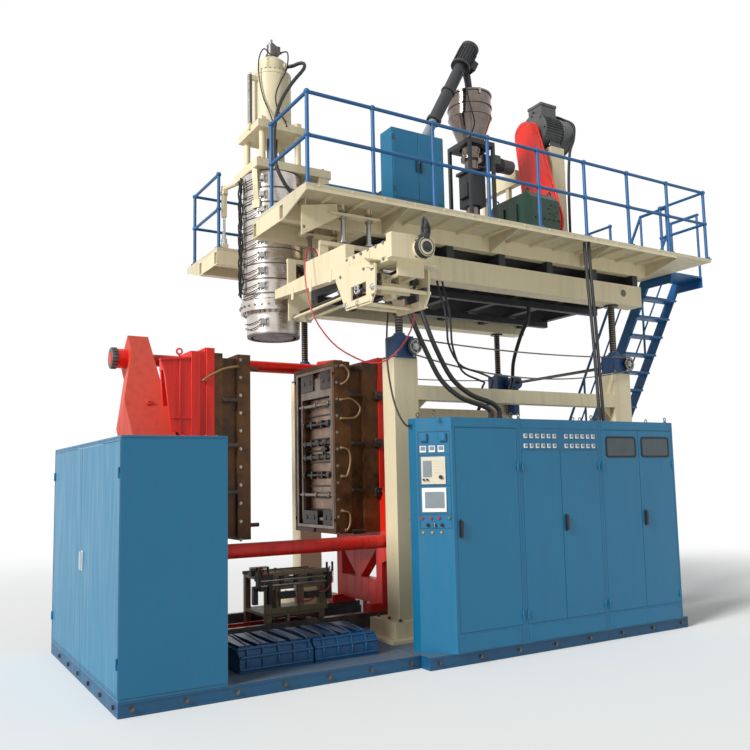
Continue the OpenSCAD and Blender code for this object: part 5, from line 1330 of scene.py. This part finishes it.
def makePanel():
    # operator panel on the cut corner: small boxes, meters, recorder with screen, white keypad, lamps
    frames, faces, blue, cream, grey, dark = (bmesh.new() for _ in range(6))
    for s in (65, 148, 230):
        addMeter(frames, faces, s, 1915, 0, panelTurn)
    for low, high in ((42, 104), (216, 278)):
        addBox(blue, (low, high), (0, 26), (1985, 2060), panelTurn)
        addBox(blue, (low + 8, high - 8), (24, 30), (1993, 2052), panelTurn)
    addBox(cream, (45, 266), (0, 12), (1598, 1845), panelTurn)
    addBox(grey, (62, 141), (11, 15), (1663, 1809), panelTurn)
    for row in range(5):
        addBox(cream, (156, 250), (11, 14), (1700 + 26 * row, 1716 + 26 * row), panelTurn)
    addBox(frames, (46, 267), (0, 12), (1349, 1566), panelTurn)
    addBox(grey, (73, 250), (11, 14), (1384, 1529), panelTurn)
    for s, z, radius in ((223, 1661, 17), (67, 1640, 10), (100, 1640, 10)):
        addRod(dark, panelTurn @ Vector((s, 11, z)), panelTurn @ Vector((s, 30, z)), radius, 16)
    for s in (92, 155, 219):
        addLathe(dark, panelTurn @ Vector((s, 0, 1235)), panelTurn.to_3x3() @ Vector(toBack),
                 [(17, 0), (17, 5), (12, 6), (12, 20), (9, 24), (0, 24)], 20)
    addBox(grey, (150, 160), (22, 28), (1219, 1251), panelTurn)
    makePiece("meterFrames", frames, "panelWhite", "frame", bevel=2)
    makePiece("meterFaces", faces, "screenGlass", "frame")
    makePiece("panelBoxes", blue, "doorEnamel", "frame", bevel=2)
    makePiece("panelRecorder", cream, "panelCream", "frame", bevel=2)
    makePiece("panelScreens", grey, "screenGlass", "frame", bevel=1)
    makePiece("panelKnobs", dark, "handleBlack", "frame")
    seams = bmesh.new()
    for z in (1205, 1330, 1585, 1862, 2072):
        addBox(seams, (20, 308), (0, 2), (z - 2, z + 2), panelTurn)
    for s in (20, 308):
        addBox(seams, (s - 2, s + 2), (0, 2), (1205, 2072), panelTurn)
    makePiece("panelSeams", seams, "machineBlack", "frame")
    bulbs = bmesh.new()
    for s in (48, 130, 212):
        addLathe(bulbs, panelTurn @ Vector((s, 0, 1168)), panelTurn.to_3x3() @ Vector(toBack),
                 [(11, 0), (11, 8), (7, 14), (0, 15)], 16)
    makePiece("panelLamps", bulbs, "lampAmber", "frame")


def makeDoorTrim():
    frames, faces = bmesh.new(), bmesh.new()
    for low in (1674, 2205):
        for column in range(6):
            for z in (2037, 1942):
                addMeter(frames, faces, low + 75 * column, z, reach=21)
    makePiece("rowMeters", frames, "panelWhite", "frame", bevel=2)
    makePiece("rowFaces", faces, "screenGlass", "frame")
    for name, x in (("door_3_left", (2774, 3193)), ("door_3_right", (3301, 3714))):
        seal = bmesh.new()
        addPlate(seal, "y", (front - 7, front + 1), roundedOutline((x[0] - 13, x[1] + 13), (1825, 2043), 34),
                 roundedOutline((x[0] + 5, x[1] - 5), (1843, 2025), 22))
        makePiece(name + "Seal", seal, "sealRubber", name, bevel=2)
        pane = bmesh.new()
        addPlate(pane, "y", (front - 3, front + 3), roundedOutline((x[0], x[1]), (1838, 2030)))
        makePiece(name + "Pane", pane, "windowGlass", name)
    for name, across in (("door_1", 870), ("door_2_right", 2165), ("door_3_right", 3305)):
        plate = bmesh.new()
        addPlate(plate, "y", (front - 5, front),
                 roundedOutline((across - 17, across + 17), (1195 - 84, 1195 + 84), 12))
        makePiece(name + "Rosette", plate, "handleBlack", name, bevel=2)


def makeCabinetTrim():
    strips, bolts = bmesh.new(), []
    for low, high in ((823, 1529), (1632, 2634), (2710, 3764)):
        addBox(strips, (low, high), (front - 5, front), (122, 262))
        addBox(strips, (low, high), (front - 4, front), (2114, 2200))
        bolts += [(x, front - 5, z) for x in (low + 30, (low + high) / 2, high - 30) for z in (142, 242)]
        bolts += [(x, front - 4, 2190) for x in (low + 24, high - 24)]
    for low, high in ((600, 1560), (1630, 2640), (2710, 3770)):
        addBox(strips, (low, high), (back, back + 6), (180, 2120))
        bolts += [(x, back + 6, z) for x in (low + 30, high - 30) for z in (220, 760, 1300, 1840, 2080)]
    addBox(strips, (3803, 3809), (-2060, -1790), (180, 2120))
    makePiece("cabinetStrips", strips, "doorEnamel", "frame", bevel=2)
    away = [toFront if y < -1900 else toBack for _, y, _ in bolts]
    addBolts("stripBolts", "frame", bolts, away, 6, 4, "doorEnamel")
    louvres = bmesh.new()
    for low in (760, 1800, 2900, 3300):
        for row in range(12):
            z = 1560 + 34 * row
            addPlate(louvres, "x", (low, low + 330),
                     [(back + 5, z), (back + 22, z - 6), (back + 22, z - 2), (back + 5, z + 22)])
    for row in range(10):
        z = 420 + 34 * row
        addPlate(louvres, "y", (-2020, -1830), [(3808, z), (3826, z - 6), (3826, z - 2), (3808, z + 22)])
    makePiece("cabinetLouvres", louvres, "doorEnamel", "frame")
    eyes = bmesh.new()
    for x in (640, 1547, 1640, 2620, 2720, 3750):
        for y in (-2050, -1795):
            addLathe(eyes, (x, y, 2203), toTop, [(19, 0), (19, 6), (12, 10), (9, 22), (0, 22)], 16)
            loop = [Vector((x + 17 * cos(2 * pi * i / 14), y, 2240 + 17 * sin(2 * pi * i / 14)))
                    for i in range(15)]
            addTube(eyes, loop, 5, 8)
    makePiece("eyeBolts", eyes, "turnedSteel", "frame", sharp=60)


makePanel()
makeDoorTrim()
makeCabinetTrim()
print("cabinets dressed")


# housing: removable panels, bolts, rosette, seams; base: edge strips and bolts
def makeHousingTrim():
    panels, bolts, away = bmesh.new(), [], []
    for x in ((-2050, -1690), (-1680, -1300)):
        addBox(panels, x, (770, 775), (150, 1960))
        rear = [(a, 775, b) for a in (x[0] + 24, x[1] - 24) for b in (180, 780, 1360, 1930)]
        bolts, away = bolts + rear, away + [toBack] * len(rear)
    for y in ((-1880, -650), (650, 740)):
        addBox(panels, (-2050, -1300), y, (housingTop, housingTop + 5))
        lid = [(a, b, housingTop + 5) for a in (-2020, -1330) for b in (y[0] + 30, y[1] - 30)]
        bolts, away = bolts + lid, away + [toTop] * len(lid)
    makePiece("housingPanels", panels, "housingDoorEnamel", "frame", bevel=1.5)
    addBolts("housingBolts", "frame", bolts, away, 8, 6, "groundSteel")
    plate = bmesh.new()
    addPlate(plate, "x", (-2095, -2090), rectangle((-651, -595), (925, 1095)))
    makePiece("housingRosette", plate, "handleWhite", "housing_door_front", bevel=2)
    seams = bmesh.new()
    for y in (-1912, 758):
        addBox(seams, (-2092, -2090), (y - 1.5, y + 1.5), (130, 2000))
    for z in (130, 1998):
        addBox(seams, (-2092, -2090), (-1912, 758), (z - 1.5, z + 1.5))
        addBox(seams, (-2076, -1280), (-1927, -1925), (z - 1.5, z + 1.5))
    makePiece("housingSeams", seams, "machineBlack", "frame")


def makeBaseTrim():
    strip, bolts, away = bmesh.new(), [], []
    for x, y in (((-2080, 500), -1925), ((530, 3900), -2064)):
        addBox(strip, (x[0], x[1]), (y - 5, y), (92, 104))
        addBox(strip, (x[0], x[1]), (y - 5, y), (2, 16))
        count = int((x[1] - x[0]) / 430)
        row = [(x[0] + 90 + (x[1] - x[0] - 180) * i / count, y, 54) for i in range(count + 1)]
        bolts, away = bolts + row, away + [toFront] * len(row)
    for y in range(-1800, 700, 420):
        bolts.append((-2090, y, 54))
        away.append(toLeft)
    makePiece("baseStrips", strip, "baseEnamel", "frame", bevel=2)
    addBolts("baseBolts", "frame", bolts, away, 17, 15, "turnedSteel")


housingTop = max((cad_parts["left_housing"].matrix_world @ Vector(c)).z
                 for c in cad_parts["left_housing"].bound_box) / mm
makeHousingTrim()
makeBaseTrim()
print("housing dressed")


# columns, jacks and sprockets; clamp ends
frameWork = {"columns": (918, 4070), "rows": (-1094, 1092), "plinth": 286, "cap": 2872, "jack": 3102,
             "worm": 2990, "shift": 100, "line": 1235}


def makeColumns(work):
    seams, bolts, plates, plateBolts = bmesh.new(), [], bmesh.new(), []
    for x in work["columns"]:
        for y in work["rows"]:
            for z, half in ((122, 236), (276, 236)):
                addPlate(seams, "z", (z - 5, z + 5), rectangle((x - half, x + half), (y - half, y + half)),
                         rectangle((x - 200, x + 200), (y - 200, y + 200)))
            bolts += [(x + a, y + b, work["plinth"]) for a in (-196, 196) for b in (-196, 0, 196)]
            addPlate(plates, "z", (work["cap"] - 1, work["cap"] + 14),
                     rectangle((x - 128, x + 128), (y - 128, y + 128)),
                     rectangle((x - 100, x + 100), (y - 100, y + 100)))
            plateBolts += [(x + a, y + b, work["cap"] + 14) for a in (-115, 115) for b in (-115, 115)]
            addLathe(plates, (x, y, work["jack"] - 1), toTop,
                     [(46, 0), (78, 0), (78, 16), (60, 20), (60, 40), (46, 40)], 32, closed=True)
            side = -1 if y < 0 else 1
            for z in (work["worm"] - 60, work["worm"] + 60):
                addBox(plates, (x - 108, x + 108), (y + side * 105 - 3, y + side * 105 + 3), (z - 7, z + 7))
    makePiece("plinthRims", seams, "creamPaint", "frame", bevel=2)
    makePiece("jackFlanges", plates, "jackEnamel", "frame", bevel=2)
    addBolts("plinthBolts", "frame", bolts, toTop, 17, 22, "turnedSteel")
    addBolts("jackBolts", "frame", plateBolts, toTop, 13, 16, "turnedSteel")


def makeSprocketFace(work, x, y, body, name):
    # hub, rim and spokes on the sprocket's outer face
    out = -1 if y < 0 else 1
    wheel = bmesh.new()
    addLathe(wheel, (x, y + out * 14, work["worm"]), (0, out, 0),
             [(0, 12), (17, 12), (17, 4), (34, 4), (34, -2), (0, -2)], 24)
    addRing(wheel, (x, y + out * 14, work["worm"]), (0, out, 0), (62, 72), (-2, 4), 36)
    for i in range(5):
        angle = 2 * pi * i / 5
        addRod(wheel, (x + 30 * cos(angle), y + out * 15, work["worm"] + 30 * sin(angle)),
               (x + 64 * cos(angle), y + out * 15, work["worm"] + 64 * sin(angle)), 6, 8)
    makePiece(name, wheel, "groundSteel", body, bevel=1)


def makeClampEnds():
    nuts = bmesh.new()
    for y, z in ((-900, 1026), (900, 3019)):
        addRing(nuts, (-1525, y, z), toRight, (70, 112), (-3, 60), 32)
        for i in range(20):
            angle = 2 * pi * i / 20
            addBox(nuts, (-1522, -1468), (y + 112 * cos(angle) - 7, y + 112 * cos(angle) + 7),
                   (z + 112 * sin(angle) - 7, z + 112 * sin(angle) + 7))
    makePiece("tieNuts", nuts, "turnedSteel", "clamp_right", bevel=2)
    eyes = bmesh.new()
    addLathe(eyes, (-1195, -464, 2838), toTop, [(20, 0), (20, 24), (10, 28), (10, 50), (0, 50)], 18)
    addTube(eyes, [Vector((-1195 + 27 * cos(2 * pi * i / 16), -464, 2912 + 27 * sin(2 * pi * i / 16)))
                   for i in range(17)], 9, 8)
    makePiece("platenEye", eyes, "clampRed", "clamp_left", sharp=60)
    boss = bmesh.new()
    facing = Vector((0, -0.742, 0.670))
    addLathe(boss, Vector((-1325.8, 114.3, 2462.4)) + 14 * facing, facing,
             [(0, 30), (16, 30), (16, 8), (38, 6), (38, -16), (0, -16)], 24)
    makePiece("yokeValve", boss, "yokeRed", "clamp_right")


makeColumns(frameWork)
for place in frameWork["columns"]:
    for row in (-1, 1):
        moving = "left_sprockets" if place < 2000 else "line_shaft"
        makeSprocketFace(frameWork, place + frameWork["shift"], row * frameWork["line"], moving,
                         moving + ("Front" if row < 0 else "Rear") + "Face")
makeClampEnds()
print("frame dressed")


# deck: dark plates over the joists as painted shade under the deck, ribs on the overhang, lip, bolts; deck
# box doors; railing collars
def makeDeckTrim():
    shadeSheets, ribs, lip = bmesh.new(), bmesh.new(), bmesh.new()
    # black plates between the joists are painted shade: they darken the underside of the deck where shadow
    # falls
    for low, high in ((704, 756), (854, 1476), (1574, 2196), (2294, 2916), (3014, 3636),
                      (3734, 4356), (4454, 4496)):
        addBox(shadeSheets, (low, high), (-1095, 1095), (4117, 4123))
    makePiece("underDeckShadeSheets", shadeSheets, "machineBlack", "platform")
    for x in range(-130, 4600, 350):
        if min(abs(x - known) for known in (-431, 670, 2069, 3466, 4606)) < 90:
            continue
        for y in ((-1680, -1206), (1206, 1640)):
            addBox(ribs, (x, x + 10), y, (4255, 4284))
    makePiece("deckRibs", ribs, "creamPaint", "platform")
    for y in (-1690, 1644):
        addBox(lip, (-425, 4610), (y - 1, y + 7), (4258, 4286))
    makePiece("deckLip", lip, "creamPaint", "platform")
    bolts = [(x, -1690, 4305) for x in range(-300, 4600, 352)]
    addBolts("deckBolts", "platform", bolts, toFront, 9, 7, "creamPaint")


def makeBeamPlug():
    plug = bmesh.new()
    addLathe(plug, (4180, -1204, 3880), toFront, [(44, -2), (44, 4), (34, 6), (34, 2), (0, 2)], 28)
    makePiece("beamPlug", plug, "turnedSteel", "platform")
    seams = bmesh.new()
    for reach in ((694, 701), (4499, 4506)):
        for y in ((-1204, -984), (982, 1202)):
            addPlate(seams, "x", reach, rectangle((y[0], y[1]), (3735, 3990)))
    makePiece("beamEnds", seams, "creamPaint", "platform", bevel=2)


def makeDeckBoxTrim():
    trim, dark = bmesh.new(), bmesh.new()
    for x in ((762, 1070), (1080, 1388)):
        addBox(trim, x, (-1305, -1300), (4520, 5236))
    makePiece("deckBoxDoors", trim, "doorEnamel", "platform", bevel=2)
    for x in (1046, 1104):
        addBox(dark, (x - 8, x + 8), (-1322, -1304), (4820, 4940))
    for x in (766, 1384):
        for z in (4600, 5150):
            addRod(dark, (x, -1306, z - 30), (x, -1306, z + 30), 7, 12)
    for i in range(5):
        addRod(dark, (830 + 120 * i, -1190, 4502), (830 + 120 * i, -1190, 4440), 20, 14)
        addTube(dark, smoothRoute([(830 + 120 * i, -1190, 4450), (840 + 120 * i, -1180, 4390),
                                   (870 + 110 * i, -1120, 4342), (940 + 90 * i, -1000, 4338)], 4), 14, 8)
    makePiece("deckBoxFittings", dark, "handleBlack", "platform", sharp=50)
    pump = bmesh.new()
    for x in (180, 330, 480, 620):
        addRod(pump, (x, -960, 4600), (x, -960, 4640), 42, 20)
    addBox(pump, (118, 702), (-1106, -1100), (4380, 4560))
    addRod(pump, (300, -1108, 4470), (300, -1150, 4470), 46, 24)
    addRod(pump, (520, -1108, 4470), (520, -1134, 4470), 30, 20)
    makePiece("deckValves", pump, "machineBlack", "platform", bevel=2)


def makeRailJoints():
    collars = bmesh.new()
    for i in range(9):
        x = -395 + (frameRail[1] - frameRail[0]) * i / 8
        for y in (-1650, 1469):
            addLathe(collars, (x, y, deckTop), toTop,
                     [(20, 0), (44, 0), (44, 8), (26, 12), (26, 34), (20, 34)], 20, closed=True)
    makePiece("railFeet", collars, "railEnamel", "platform")


railBox = [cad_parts["railing"].matrix_world @ Vector(c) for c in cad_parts["railing"].bound_box]
frameRail = (min(c.x for c in railBox) / mm + 21, max(c.x for c in railBox) / mm - 21)
makeDeckTrim()
makeBeamPlug()
makeDeckBoxTrim()
makeRailJoints()
print("deck dressed")

# floor, sky and lamps
studio = {"floorHalf": 60000, "fadeFrom": 5000, "fadeTo": 14000, "lampTurn": (60, 0, -77),
          "lampStrength": 3.3, "lampAngle": 16, "sky": 0.42}


def directRays(tree):
    # 1 for rays from the camera, from a shiny surface or through glass, 0 for those that carry light
    rays = addNode(tree, "ShaderNodeLightPath").outputs
    seen = maths(tree, "MAXIMUM", rays["Is Camera Ray"], rays["Is Glossy Ray"])
    return maths(tree, "MAXIMUM", seen, rays["Is Transmission Ray"])


def makeFloor(work):
    floorMaterial = bpy.data.materials.new("studioFloor")
    floorMaterial.use_nodes = True
    tree = floorMaterial.node_tree
    tree.nodes.clear()
    # matt paper floor that keeps the shadow near the machine and turns white far from it
    where = addNode(tree, "ShaderNodeTexCoord")
    fade = addNode(tree, "ShaderNodeVectorMath", {"operation": "LENGTH"}, {0: where.outputs["Object"]})
    far = addNode(tree, "ShaderNodeMapRange", {"interpolation_type": "SMOOTHSTEP"},
                  {"Value": fade.outputs["Value"], "From Min": work["fadeFrom"] * mm,
                   "From Max": work["fadeTo"] * mm})
    share = maths(tree, "MULTIPLY", directRays(tree), far.outputs[0])
    paper = addNode(tree, "ShaderNodeBsdfDiffuse", {}, {"Color": linear("#f4f4f2")})
    white = addNode(tree, "ShaderNodeEmission", {}, {"Color": (1, 1, 1, 1), "Strength": 1.0})
    both = addNode(tree, "ShaderNodeMixShader", {}, {0: share, 1: paper.outputs[0], 2: white.outputs[0]})
    addNode(tree, "ShaderNodeOutputMaterial", {}, {"Surface": both.outputs[0]})
    half = work["floorHalf"] * mm
    mesh = bpy.data.meshes.new("studioFloor")
    mesh.from_pydata([(-half, -half, 0), (half, -half, 0), (half, half, 0), (-half, half, 0)], [],
                     [(0, 1, 2, 3)])
    mesh.materials.append(floorMaterial)
    floor = bpy.data.objects.new("studioFloor", mesh)
    scene.collection.objects.link(floor)


def makeSky(work):
    world = bpy.data.worlds.new("studioSky")
    scene.world = world
    world.use_nodes = True
    tree = world.node_tree
    tree.nodes.clear()
    soft = addNode(tree, "ShaderNodeBackground", {}, {"Color": (0.93, 0.97, 1.0, 1), "Strength": work["sky"]})
    white = addNode(tree, "ShaderNodeBackground", {}, {"Color": (1, 1, 1, 1), "Strength": 1.0})
    both = addNode(tree, "ShaderNodeMixShader", {},
                   {0: directRays(tree), 1: soft.outputs[0], 2: white.outputs[0]})
    addNode(tree, "ShaderNodeOutputWorld", {}, {"Surface": both.outputs[0]})


def makeLamp(work):
    data = bpy.data.lights.new("hallLight", "SUN")
    data.energy = work["lampStrength"]
    data.angle = radians(work["lampAngle"])
    lamp = bpy.data.objects.new("hallLight", data)
    lamp.rotation_euler = [radians(a) for a in work["lampTurn"]]
    scene.collection.objects.link(lamp)


makeFloor(studio)
makeSky(studio)
makeLamp(studio)
scene.view_settings.view_transform = "Standard"
print("floor, sky and lamp set")
